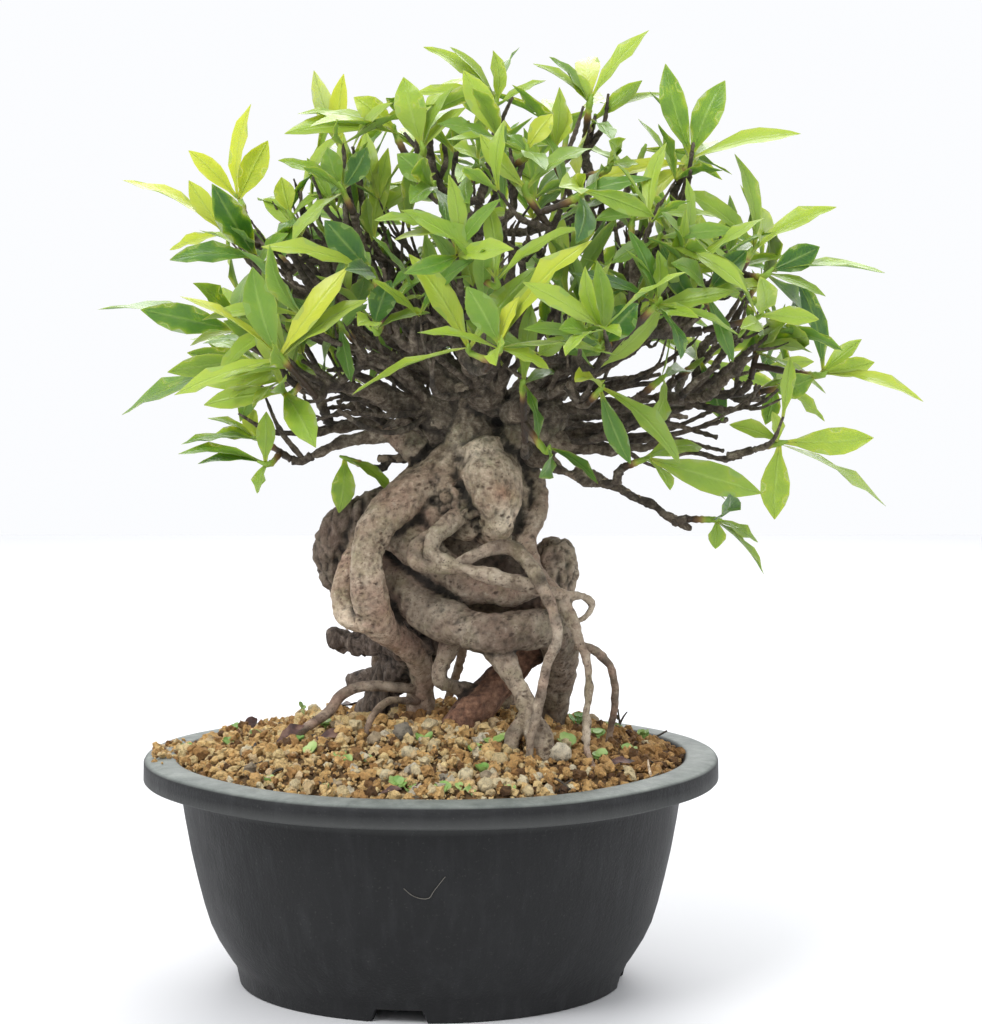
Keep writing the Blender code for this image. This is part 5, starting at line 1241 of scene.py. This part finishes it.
solids, ripeness = [], []
for number, (_, _, rows_of) in enumerate(stems):
    for k, rows in enumerate(rows_of):
        route = through(rows, 0.8)
        route[:, 3] *= GREEN_SHARE
        solids.append(ringed(scarred(route, 2.2, 0.26), 8, 700 + 2 * number + k, 0.06, 0.05))
        to_tip = np.linalg.norm(solids[-1][0] - np.array(rows[-1][:3]), axis=1)
        ripeness.append(np.clip(1 - (to_tip - RIPE_FROM) / RIPE_OVER, 0, 0.85))
points, faces = joined(solids)
green_shoots = piece_from("green_shoots", points, faces, shoot_skin())
with_value(green_shoots, "young", np.concatenate(ripeness))
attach(green_shoots, "root")
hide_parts(*[f"spray_{number:02d}" for number in range(len(sprays))])


# Leaves: whorls of narrow, pointed, leathery leaves without stalks, glossy and deep green when ripe,
# yellow-green when young. Each is widest beyond its middle, folded along a pale rib, and slightly waved.
LEAF_LENGTH = 31.0
LEAF_MIN_WIDTH = 6.0
LEAF_MAX_WIDTH = 10.5
# How far above a shoot's base its first leaf leaves the bud, and each further one below the last
FIRST_LEAF = 2.4
LEAF_STEP = 0.5
# Leaves of a shoot at least, and the golden angle between them
SHOOT_LEAVES = 4
LEAF_TURN = 2.39996
# The solids' leaves were moved until they fitted among the others: how far back or forward the tip of a
# front leaf may be, how many turns a leaf by rule may have tried, and the gap to its solid that still fits
FRONT_SHIFTS = (0, -4, 4, -8, 8, -12, 12, -16, 16, -20, 20)
RULE_TRIES = 12
LEAF_MATCH = 1.0
# Rows along a leaf, columns across it, its thickness, and the greatest value of its outline's formula
LEAF_ROWS = np.array((0.0, 0.15, 0.33, 0.50, 0.66, 0.80, 0.92, 1.0))
LEAF_COLUMNS = 5
LEAF_THICK = 0.32
OUTLINE_PEAK = 0.1706
INNER_SHOOTS = 135
# Tint of each front leaf in the shoots' order: 9 is yellow, 5 mid green, 1 the deepest, and 10 pale. They
# follow how light or dark each leaf shows, so they carry painted light and shade as well as the leaves' own
# colours.
FRONT_TINTS = (
    (9, 8, 8), (9, 9, 8), (1, 2, 5, 3), (7, 4, 4, 2), (9, 3, 9, 6, 6), (3, 2, 4, 3, 7), (4, 3, 4, 3), (5, 4),
    (5, 5, 7, 3), (3, 2, 4, 4), (3, 3, 1, 4, 5), (10, 9), (7, 5, 5), (5, 4, 6, 4), (3, 3, 2), (6, 3, 4),
    (6, 6, 5, 6, 3, 5), (8, 3, 3), (7, 6, 6), (4, 6), (5, 3, 3), (4, 4, 7, 5), (4, 5), (3, 9, 8, 5, 6, 5, 6),
    (6, 4), (1, 1, 3), (1, 3, 4, 6), (2, 3, 3), (6, 8, 5, 5, 3), (4, 5, 8, 3), (3, 3, 6, 4, 3, 9, 8),
    (4, 6, 7, 1), (4, 5, 4, 3), (4, 3, 1), (1, 3, 3), (4, 4, 5, 6, 6), (1, 4, 4, 2), (5, 5, 4),
    (2, 4, 1, 4, 1), (1, 4, 2, 3), (9, 1, 3), (4, 8, 2), (5, 4, 3), (1, 5, 6, 7, 3), (2, 3, 5),
    (6, 5, 5, 5, 6), (4, 5, 4, 4), (4, 4, 4, 1), (1, 3), (4, 3), (2, 3), (2, 2), (4, 4))


def leaf_foot(shoot, number):
    """Where leaf number leaves its bud: each a little lower than the one before."""
    return shoot["base"] + shoot["axis"] * (FIRST_LEAF - LEAF_STEP * number)


def front_leaf(shoot, number, shift):
    """Base, tip, facing and width of a leaf that the front shows, its tip moved back by shift."""
    x, z, lean, shown = shoot["leaves"][number]
    base = leaf_foot(shoot, number)
    flat = from_front(x, base[1], z) - base
    reach = float(np.linalg.norm(flat))
    depth = lean * math.sqrt(max(0.0, LEAF_LENGTH ** 2 - reach ** 2)) * 0.9 + shift
    tip = from_front(x, base[1] + depth, z)
    length = float(np.linalg.norm(tip - base))
    width = max(shown, min(LEAF_MAX_WIDTH, max(LEAF_MIN_WIDTH, 0.26 * length)))
    along = unit(tip - base)
    to_eye = unit(EYE - tip)
    to_eye = unit(to_eye - along * to_eye.dot(along))
    side = np.cross(along, to_eye)
    if side.dot(shoot["axis"] + np.array((0, 0, 0.6))) < 0:
        side = -side
    open_share = min(1.0, shown / width)
    face = to_eye * open_share + side * math.sqrt(max(0.0, 1 - open_share ** 2))
    return base, tip, face, width


def leaning(axis, lean, turn):
    """Direction that leans away from an axis, turned round it: cos(lean) of the axis and sin(lean) of
    cos(turn) of one direction square to it and sin(turn) of the other."""
    side = unit(np.cross(axis, np.array((0.31, 0.17, 0.93))))
    out = math.cos(turn) * side + math.sin(turn) * np.cross(axis, side)
    return math.cos(lean) * axis + math.sin(lean) * out


def rule_leaf(shoot, number, turn, rng):
    """Base, tip, facing and width of a leaf by rule: a golden-angle spiral round the axis."""
    axis = shoot["axis"]
    spin = (number + turn) * LEAF_TURN + rng.uniform(-0.5, 0.5)
    lean = math.radians(rng.uniform(38, 82))
    along = unit(leaning(axis, lean, spin) - np.array((0, 0, rng.uniform(0.0, 0.25))))
    length = rng.uniform(25, 36)
    face = unit(axis + 0.35 * np.array([rng.uniform(-1, 1) for _ in range(3)]))
    base = leaf_foot(shoot, number)
    return base, base + along * length, face, length * rng.uniform(0.21, 0.28)


def solid_of(node):
    """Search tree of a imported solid's surface, in millimetres."""
    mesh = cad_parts[node].data
    return BVHTree.FromPolygons([point.co * 1000 for point in mesh.vertices],
                                [tuple(face.vertices) for face in mesh.polygons])


def fitted(tries, solid):
    """The try whose rib, arched by 0.28 u(1-u) of its length, runs nearest to the spray's solid, or None
    where the solid has no such leaf."""
    best, least = None, LEAF_MATCH
    for leaf in tries:
        base, tip, face, _ = leaf
        chord = tip - base
        up = unit(face - chord * face.dot(chord) / chord.dot(chord))
        arch = 0.28 * np.linalg.norm(chord)
        rib = [base + chord * u + up * (arch * u * (1 - u)) for u in (0.4, 0.6, 0.8, 0.93)]
        gap = sum(solid.find_nearest(Vector(point))[3] for point in rib) / len(rib)
        if gap < least:
            best, least = leaf, gap
    return best


def list_leaves():
    """Leaf, tint and spray of each leaf of the solids: those that the front shows, then those by rule."""
    spray_of = {member: number for number, spray in enumerate(sprays) for member in spray}
    solids = [solid_of(f"spray_{number:02d}") for number in range(len(sprays))]
    found = []
    for member, shoot in enumerate(shoots):
        own = spray_of[member]
        for number in range(len(shoot["leaves"])):
            leaf = fitted([front_leaf(shoot, number, shift) for shift in FRONT_SHIFTS], solids[own])
            if leaf:
                found.append((leaf, FRONT_TINTS[member][number], own))
    for member, shoot in enumerate(shoots):
        own = spray_of[member]
        rng = random.Random(300 + member)
        for number in range(len(shoot["leaves"]), SHOOT_LEAVES):
            tries = [rule_leaf(shoot, number, 0.5 * attempt, rng) for attempt in range(RULE_TRIES)]
            inside = [leaf for leaf in tries if in_crown(leaf[1]) and in_crown((leaf[0] + leaf[1]) / 2)]
            leaf = fitted(inside, solids[own])
            if leaf:
                found.append((leaf, 3.6 + 3.0 * rng.random(), own))
    return found


def small_leaves(hosts, count):
    """Short young leaves, two to four round the tips of the first side twigs, for the crown's inside."""
    rng = np.random.default_rng(91)
    made = []
    for host in hosts[:count]:
        tip = host[-1, :3]
        axis = unit(host[-1, :3] - host[-4, :3])
        for turn in np.arange(rng.integers(2, 5)) * LEAF_TURN + rng.uniform(0, 6):
            along = unit(leaning(axis, math.radians(rng.uniform(30, 75)), turn))
            length = rng.uniform(18, 30)
            end = tip + along * length
            if not in_crown(end):
                continue
            face = unit(axis + 0.4 * rng.normal(size=3))
            leaf = (tip - axis * 0.5, end, face, length * rng.uniform(0.20, 0.27))
            made.append((leaf, rng.uniform(2.2, 6.4)))
    return made


def leaf_surfaces(leaves, seed):
    """Top and underside of every leaf at once, on a grid of u along and v across. Half width is
    u^1.5 (1-u)^1.1 of the greatest, and never under 0.5 mm but at the tip; the rib arches by 4u(1-u) of
    7 % of the length and sways by as much of up to 5 %; the halves rise from it by a fold and a wave that
    grow with v; the whole twists with u; and the underside lies LEAF_THICK (1-|v|^3) below, and meets the
    top at the edge."""
    rng = np.random.default_rng(seed)
    count = len(leaves)
    base, tip, face = (np.array([leaf[k] for leaf in leaves]) for k in range(3))
    width = np.array([leaf[3] for leaf in leaves])
    length = np.linalg.norm(tip - base, axis=1)
    along = (tip - base) / length[:, None]
    up = unit(face - along * (face * along).sum(axis=1)[:, None])
    across = np.cross(along, up)
    u, v = LEAF_ROWS, np.linspace(-1, 1, LEAF_COLUMNS)
    outline = u ** 1.5 * (1 - u) ** 1.1 / OUTLINE_PEAK
    half = np.maximum(outline[None] * width[:, None] / 2, np.where(u > 0.95, 0.12, 0.5)[None])
    grid_u, grid_v = np.meshgrid(u, v, indexing="ij")
    fold = rng.uniform(0.10, 0.42, count)[:, None, None]
    wave = rng.uniform(0.02, 0.11, count)[:, None, None]
    phase = rng.uniform(0, 2 * np.pi, (2, count))[:, :, None, None]
    twist = rng.uniform(-0.25, 0.25, count)[:, None, None] * grid_u
    sway = rng.uniform(-0.05, 0.05, count)[:, None, None] * length[:, None, None]
    reach = half[:, :, None] * grid_v
    lift = 0.07 * 4 * grid_u * (1 - grid_u) * length[:, None, None]
    lift = lift + np.abs(reach) * fold * (1 - 0.3 * grid_u)
    waves = np.sin(2 * np.pi * 2.3 * grid_u + np.where(grid_v > 0, phase[0], phase[1]))
    lift = lift + half[:, :, None] * np.abs(grid_v) ** 1.6 * wave * 3 * waves
    lift = lift + reach * np.sin(twist)
    sideways = reach * np.cos(twist) + sway * 4 * grid_u * (1 - grid_u)
    forward = grid_u * length[:, None, None]
    top = (base[:, None, None] + forward[..., None] * along[:, None, None]
           + sideways[..., None] * across[:, None, None] + lift[..., None] * up[:, None, None])
    thinning = (1 - np.abs(grid_v[1:-1, 1:-1]) ** 3)[..., None]
    inner = top[:, 1:-1, 1:-1] - LEAF_THICK * up[:, None, None] * thinning
    points = np.concatenate((top.reshape(count, -1, 3), inner.reshape(count, -1, 3)), axis=1)
    rows, columns = len(u), len(v)
    upper = np.arange(rows * columns).reshape(rows, columns)
    lower = upper.copy()
    lower[1:-1, 1:-1] = rows * columns + np.arange((rows - 2) * (columns - 2)).reshape(rows - 2, columns - 2)

    def quads(numbers):
        """Quads between neighbours of a grid of point numbers."""
        return np.stack((numbers[:-1, :-1], numbers[1:, :-1], numbers[1:, 1:], numbers[:-1, 1:]), axis=-1)

    one = np.concatenate((quads(upper).reshape(-1, 4)[:, ::-1], quads(lower).reshape(-1, 4)))
    faces = (one[None] + (np.arange(count) * points.shape[1])[:, None, None]).reshape(-1, 4)
    under = np.tile(np.repeat((0.0, 1.0), (rows - 1) * (columns - 1)), count)
    flat_u = np.concatenate((grid_u.ravel(), grid_u[1:-1, 1:-1].ravel()))
    flat_v = np.concatenate((grid_v.ravel(), grid_v[1:-1, 1:-1].ravel()))
    chart = np.tile(np.column_stack((flat_u, 0.5 + 0.5 * flat_v)), (count, 1))
    return points.reshape(-1, 3), faces, under, chart, points.shape[1]


def leaf_finish():
    """Leathery leaf: its tint runs from deep green to yellow; the rib and, fainter, the slanting side
    veins are paler, the foot yellower, the underside greyer and duller; some bear white water marks."""
    made, tree, shader, here = principled("leaf", 0.3)
    chart = parts_of(tree, tree.nodes.new("ShaderNodeUVMap").outputs["UV"])
    under = value_of(tree, "under")

    def sum_of(first, second):
        """Sum of two sockets or numbers."""
        return reckoned(tree, "ADD", first, second)

    def less(first, second):
        """First less second."""
        return reckoned(tree, "SUBTRACT", first, second)

    def times(first, second):
        """Product of two sockets or numbers."""
        return reckoned(tree, "MULTIPLY", first, second)

    across = times(reckoned(tree, "ABSOLUTE", less(chart["Y"], 0.5)), 2.0)
    mottle = noise_at(tree, here, 150.0, 4.0, 0.6)
    shifted = sum_of(value_of(tree, "tint"), times(less(mottle, 0.5), 0.16))
    base = ramp_of(tree, shifted, (0.06, (0.024, 0.090, 0.016)), (0.24, (0.095, 0.205, 0.028)),
                   (0.42, (0.225, 0.340, 0.042)), (0.60, (0.305, 0.415, 0.052)),
                   (0.78, (0.400, 0.475, 0.050)), (0.92, (0.470, 0.520, 0.050)), (1.0, (0.420, 0.500, 0.170)))
    pale = mixed(tree, 0.5, base, (0.45, 0.60, 0.16))
    slant = less(times(chart["X"], 11.0), times(across, 2.2))
    beat = reckoned(tree, "ABSOLUTE", reckoned(tree, "SINE", times(slant, math.pi)))
    vein = times(reckoned(tree, "POWER", beat, 10.0), less(1.0, across))
    rib = reckoned(tree, "POWER", reckoned(tree, "MAXIMUM", less(1.0, times(across, 6.0)), 0.0), 1.4)
    base = mixed(tree, times(vein, 0.05), base, pale)
    base = mixed(tree, times(rib, 0.55), base, pale)
    foot = grey_of(tree, chart["X"], (0.0, 0.8), (0.16, 0.0))
    base = mixed(tree, foot, base, (0.42, 0.43, 0.06))
    marks = tree.nodes.new("ShaderNodeTexVoronoi")
    marks.inputs["Scale"].default_value = 620.0
    tree.links.new(here, marks.inputs["Vector"])
    spots = grey_of(tree, marks.outputs["Distance"], (0.08, 0.7), (0.15, 0.0))
    areas = grey_of(tree, noise_at(tree, here, 30.0, 2.0), (0.68, 0.0), (0.78, 0.28))
    base = mixed(tree, times(spots, areas), base, (0.70, 0.76, 0.62))
    below = mixed(tree, 0.45, base, (0.20, 0.34, 0.10))
    tree.links.new(mixed(tree, under, base, below), shader.inputs["Base Color"])
    dull = sum_of(times(under, 0.2), sum_of(0.22, times(mottle, 0.2)))
    tree.links.new(dull, shader.inputs["Roughness"])
    shader.inputs["Specular IOR Level"].default_value = 0.34
    shader.inputs["Subsurface Weight"].default_value = 0.3
    shader.inputs["Subsurface Radius"].default_value = (0.8, 1.0, 0.1)
    shader.inputs["Subsurface Scale"].default_value = 0.0016
    bumped(tree, shader, ((vein, 0.00004), (rib, 0.00018), (mottle, 0.0003)))
    return made


def leaf_piece(name, leaves, tints, seed, finish):
    """One piece of many leaves, with their tint from 0 to 1, their underside flag and their chart."""
    points, faces, under, chart, each = leaf_surfaces(leaves, seed)
    made = piece_from(name, points, faces.tolist(), finish, sharp=70)
    with_value(made, "tint", np.repeat(np.array(tints) / 10, each))
    with_value(made, "under", under, "FACE")
    layer = made.data.uv_layers.new(name="UVMap")
    corners = np.empty(len(made.data.loops), dtype=np.int32)
    made.data.loops.foreach_get("vertex_index", corners)
    layer.data.foreach_set("uv", chart[corners].ravel().astype(np.float32))
    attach(made, "root")
    return made


leathery = leaf_finish()
leaves = list_leaves()
across_crown = np.array([sum(shoots[member]["base"][0] for member in spray) / len(spray) for spray in sprays])
bands = np.digitize(across_crown, np.quantile(across_crown, (0.2, 0.4, 0.6, 0.8)))
for band, side in enumerate(("left", "mid_left", "middle", "mid_right", "right")):
    own, tints = zip(*[(leaf, tint) for leaf, tint, spray in leaves if bands[spray] == band])
    foliage = leaf_piece(f"leaves_{side}", own, tints, 500 + band, leathery)
    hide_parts(*[f"spray_{number:02d}" for number in range(len(sprays)) if bands[number] == band])
inner = small_leaves(extra_routes, INNER_SHOOTS)
leaf_piece("leaves_inner", [leaf for leaf, _ in inner], [tint for _, tint in inner], 520, leathery)


# Weeds: seedlings with round leaves on short stalks, and tufts of the smallest ones, have come up
# between the granules. Each row is a place on the mound, a number of leaves, their radius and height.
WEEDS = (
    (-36, -36, 3, 1.6, 1.5), (-52, -4, 3, 1.7, 1.8), (-27, -41, 3, 1.4, 1.3), (-63, 30, 6, 1.0, 1.5),
    (-75, -3, 9, 0.9, 1.6), (-62, -3, 5, 0.9, 1.2), (-2, -34, 4, 1.4, 1.6), (-23, -51, 5, 1.1, 1.2),
    (-17, -48, 6, 0.9, 1.3), (16, -56, 7, 1.1, 1.6), (-8, -68, 7, 1.4, 1.6), (5, -70, 3, 1.6, 1.4),
    (-4, -69, 2, 1.5, 1.2), (10, -70, 4, 1.1, 1.3), (24, -69, 5, 1.0, 1.2), (42, -29, 4, 1.9, 2.0),
    (51, -34, 3, 1.9, 1.8), (51, -11, 3, 1.8, 3.0), (45, 5, 4, 1.3, 3.5), (23, -33, 2, 2.3, 2.4),
    (19, -35, 3, 1.8, 1.8), (15, -40, 2, 1.8, 1.3), (-32, -8, 8, 1.1, 1.6), (-40, -22, 4, 1.0, 1.2),
    (60, -16, 5, 1.2, 1.5), (66, 16, 7, 1.0, 2.0), (13, -72, 2, 1.2, 1.0), (-46, -55, 3, 1.0, 1.0),
    (-30, -66, 3, 0.9, 1.0), (-41, 32, 2, 0.8, 5.0), (57, 34, 5, 1.2, 2.0), (-30, 48, 6, 1.2, 1.8),
    (8, 62, 5, 1.4, 1.6), (34, 56, 4, 1.2, 2.0), (-58, 44, 4, 1.1, 1.5), (-6, 40, 3, 1.5, 1.6))
WEED_SIDES = 9
WEED_THICK = 0.3


def weed_green():
    """Soft weed leaf: fresh green, yellower in patches."""
    made, tree, shader, here = principled("weed green", 0.45)
    base = ramp_of(tree, noise_at(tree, here, 120.0, 3.0), (0.35, (0.13, 0.27, 0.05)),
                   (0.52, (0.26, 0.40, 0.11)), (0.68, (0.42, 0.53, 0.20)))
    tree.links.new(base, shader.inputs["Base Color"])
    bumped(tree, shader, ((noise_at(tree, here, 900.0, 2.0), 0.0002),))
    return made


def round_leaves(centres, radii, ways, seed):
    """Cupped discs: a centre and a rim that stands 0.15 radii higher and wavers by 10 %, tilted so that
    its side away from the stalk is up by 20 to 62 degrees, and the same surface lower down, joined along
    the rim."""
    rng = np.random.default_rng(seed)
    count = len(radii)
    turns = 2 * np.pi * np.arange(WEED_SIDES) / WEED_SIDES
    rim = 1 + 0.1 * np.cos(2 * turns[None] + rng.uniform(0, 6, (count, 1)))
    tilt = np.radians(rng.uniform(20, 62, count))[:, None]
    flat = np.stack((rim * np.cos(turns), rim * np.sin(turns), np.full((count, WEED_SIDES), 0.15)), axis=-1)
    flat = np.concatenate((np.zeros((count, 1, 3)), flat), axis=1) * radii[:, None, None]
    x = flat[..., 0] * np.cos(tilt) - flat[..., 2] * np.sin(tilt)
    z = flat[..., 0] * np.sin(tilt) + flat[..., 2] * np.cos(tilt)
    east, north = np.cos(ways)[:, None], np.sin(ways)[:, None]
    y = flat[..., 1]
    top = np.stack((x * east - y * north, x * north + y * east, z), axis=-1) + centres[:, None]
    points = np.concatenate((top, top - np.array((0, 0, WEED_THICK))), axis=1)
    this = 1 + np.arange(WEED_SIDES)
    following = 1 + this % WEED_SIDES
    centre, down = this * 0, WEED_SIDES + 1
    sides = ((centre, this, following), (centre + down, down + following, down + this),
             (this, down + this, down + following), (this, down + following, following))
    one = np.concatenate([np.stack(corners, axis=-1) for corners in sides])
    faces = one[None] + (np.arange(count) * points.shape[1])[:, None, None]
    return points.reshape(-1, 3), faces.reshape(-1, 3).tolist()


strewn = np.random.default_rng(64)
rows = np.repeat(np.array(WEEDS), [row[2] for row in WEEDS], axis=0)
ways = strewn.normal(1.6, 1.1, len(rows))
radii = rows[:, 3] * strewn.uniform(0.8, 1.3, len(rows))
feet = np.column_stack((rows[:, :2], mound_height(rows[:, 0], rows[:, 1])))
heads = feet + np.column_stack((np.cos(ways) * (radii + 0.4), np.sin(ways) * (radii + 0.4),
                                rows[:, 4] * strewn.uniform(0.7, 1.2, len(rows)) + 0.4))
solids = [round_leaves(heads, radii, ways, 65)]
solids += [ringed(((*foot, 0.25), (*(foot * 0.4 + head * 0.6 + (0, 0, 0.2)), 0.22), (*head, 0.2)), 5, 66)
           for foot, head in zip(feet, heads)]
weeds = piece_from("weeds", *joined(solids), weed_green(), sharp=50)
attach(weeds, "root")


# Dead leaves: old ones of the tree, dried brown and purple and curled, lie where they fell on the soil,
# in front and behind. Each row is a base, a tip, the way that it faces and its width.
FALLEN = (
    ((-46, -20, 76.5), (-38, -16, 81), (0.2, -0.6, 0.8), 4),
    ((-34, -24, 78.3), (-24, -22, 80.5), (0, -0.6, 1), 4.5),
    ((-60, 28, 73.5), (-55.5, 29, 76), (0.3, -0.8, 0.6), 4),
    ((-13, -70, 70), (-7, -72, 71.5), (0, -0.6, 1), 3),
    ((1, -72, 70.5), (-4, -71, 72), (0, -0.6, 1), 3),
    ((51, -42, 73), (61, -39, 74), (0, -0.5, 1), 3.5),
    ((30, 50, 76), (42, 44, 77), (0, 0.2, 1), 6),
    ((-20, 55, 75), (-31, 49, 77), (0.2, 0.3, 1), 6))


def dead_leaf():
    """Dry leaf: purple-brown, blotched paler."""
    made, tree, shader, here = principled("dead leaf", 0.6)
    base = ramp_of(tree, noise_at(tree, here, 260.0, 4.0), (0.36, (0.026, 0.012, 0.011)),
                   (0.52, (0.075, 0.032, 0.027)), (0.68, (0.18, 0.10, 0.07)))
    tree.links.new(base, shader.inputs["Base Color"])
    bumped(tree, shader, ((noise_at(tree, here, 700.0, 3.0), 0.0004),))
    return made


fallen = [tuple(np.array(part, dtype=float) for part in leaf[:3]) + leaf[3:] for leaf in FALLEN]
leaf_piece("dead_leaves", fallen, [1.0] * len(fallen), 540, dead_leaf())


# Bits of twig: dark snippets and rootlets on the soil, one pale straw, and a withered seedling that still
# stands behind on the right. Below them, a fine root hair has dried onto the pot's wall.
BITS = (((-23, -14, 0), (-13, -9, 2.5)), ((-27, -3, 0.5), (-21, 0, 1.5)), ((66, -38, 1), (65, -33, 4)),
        ((50, -38, 0.5), (60, -40, 1.2)), ((38, -63, 0.6), (42, -60, 3)), ((41, -62, 0.8), (36, -59, 1.5)),
        ((67, 30, 0.8), (74, 27, 2)), ((69, 26, 3), (70, 31, 1)), ((63, -44, 0.6), (68, -40, 1.5)),
        ((60, 41, -0.5), (59, 41, 8)), ((59.6, 41, 3.5), (62, 40.5, 7)), ((59.3, 41, 5), (57, 41.5, 7.2)))
STRAW = 2
LOOSE_BITS = 60
# The root hair's x and z on the wall's front
HAIR = ((-6.5, 43.2), (-4.2, 41.2), (-1.5, 40.2), (0.8, 40.4), (2.2, 42.6), (5.4, 46.8))


def on_mound(end):
    """Point at an end's x and y, as high above the mound as its third number."""
    x, y, rise = end
    return np.array((x, y, float(mound_height(np.array([x]), np.array([y]))[0]) + rise))


solids, shades = [], []
scraps = strewn.uniform(0.15, 1, (LOOSE_BITS, 2)) * (SOIL_RADIUS - 3, 2 * np.pi)
loose = [((out * math.cos(turn), out * math.sin(turn), 0.7),
          (out * math.cos(turn) + strewn.uniform(-4, 4), out * math.sin(turn) + strewn.uniform(-4, 4), 1.4))
         for out, turn in zip(scraps[:, 0], scraps[:, 1] / 0.85)]
for number, (first, last) in enumerate(BITS + tuple(loose)):
    a, b = on_mound(first), on_mound(last)
    middle = (a + b) / 2 + strewn.normal(scale=0.3, size=3)
    solids.append(ringed(through(((*a, 0.42), (*middle, 0.36), (*b, 0.24)), 0.8), 6, 80 + number, 0.15, 0.12))
    shades.append(np.full(len(solids[-1][0]), 7.0 if number == STRAW else 0.8))
points, faces = joined(solids)
bits = piece_from("twig_bits", points, faces, bark_skin)
dress(bits, points, None, dark=1.0, red=0.2, shade=np.concatenate(shades))
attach(bits, "root")

wall_radii, wall_heights = np.array(POT_OUTSIDE[:WALL_POINTS]).T
hair_rows = [(x, -math.sqrt(np.interp(z, wall_heights, wall_radii) ** 2 - x * x) - 0.15, z, 0.11)
             for x, z in HAIR]
fibre, _, fibre_shader, _ = principled("dry fibre", 0.6)
fibre_shader.inputs["Base Color"].default_value = (0.15, 0.14, 0.12, 1.0)
root_hair = piece_from("root_hair", *ringed(through(hair_rows, 0.8), 5, 97, 0.05, 0.1), fibre)
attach(root_hair, "root")
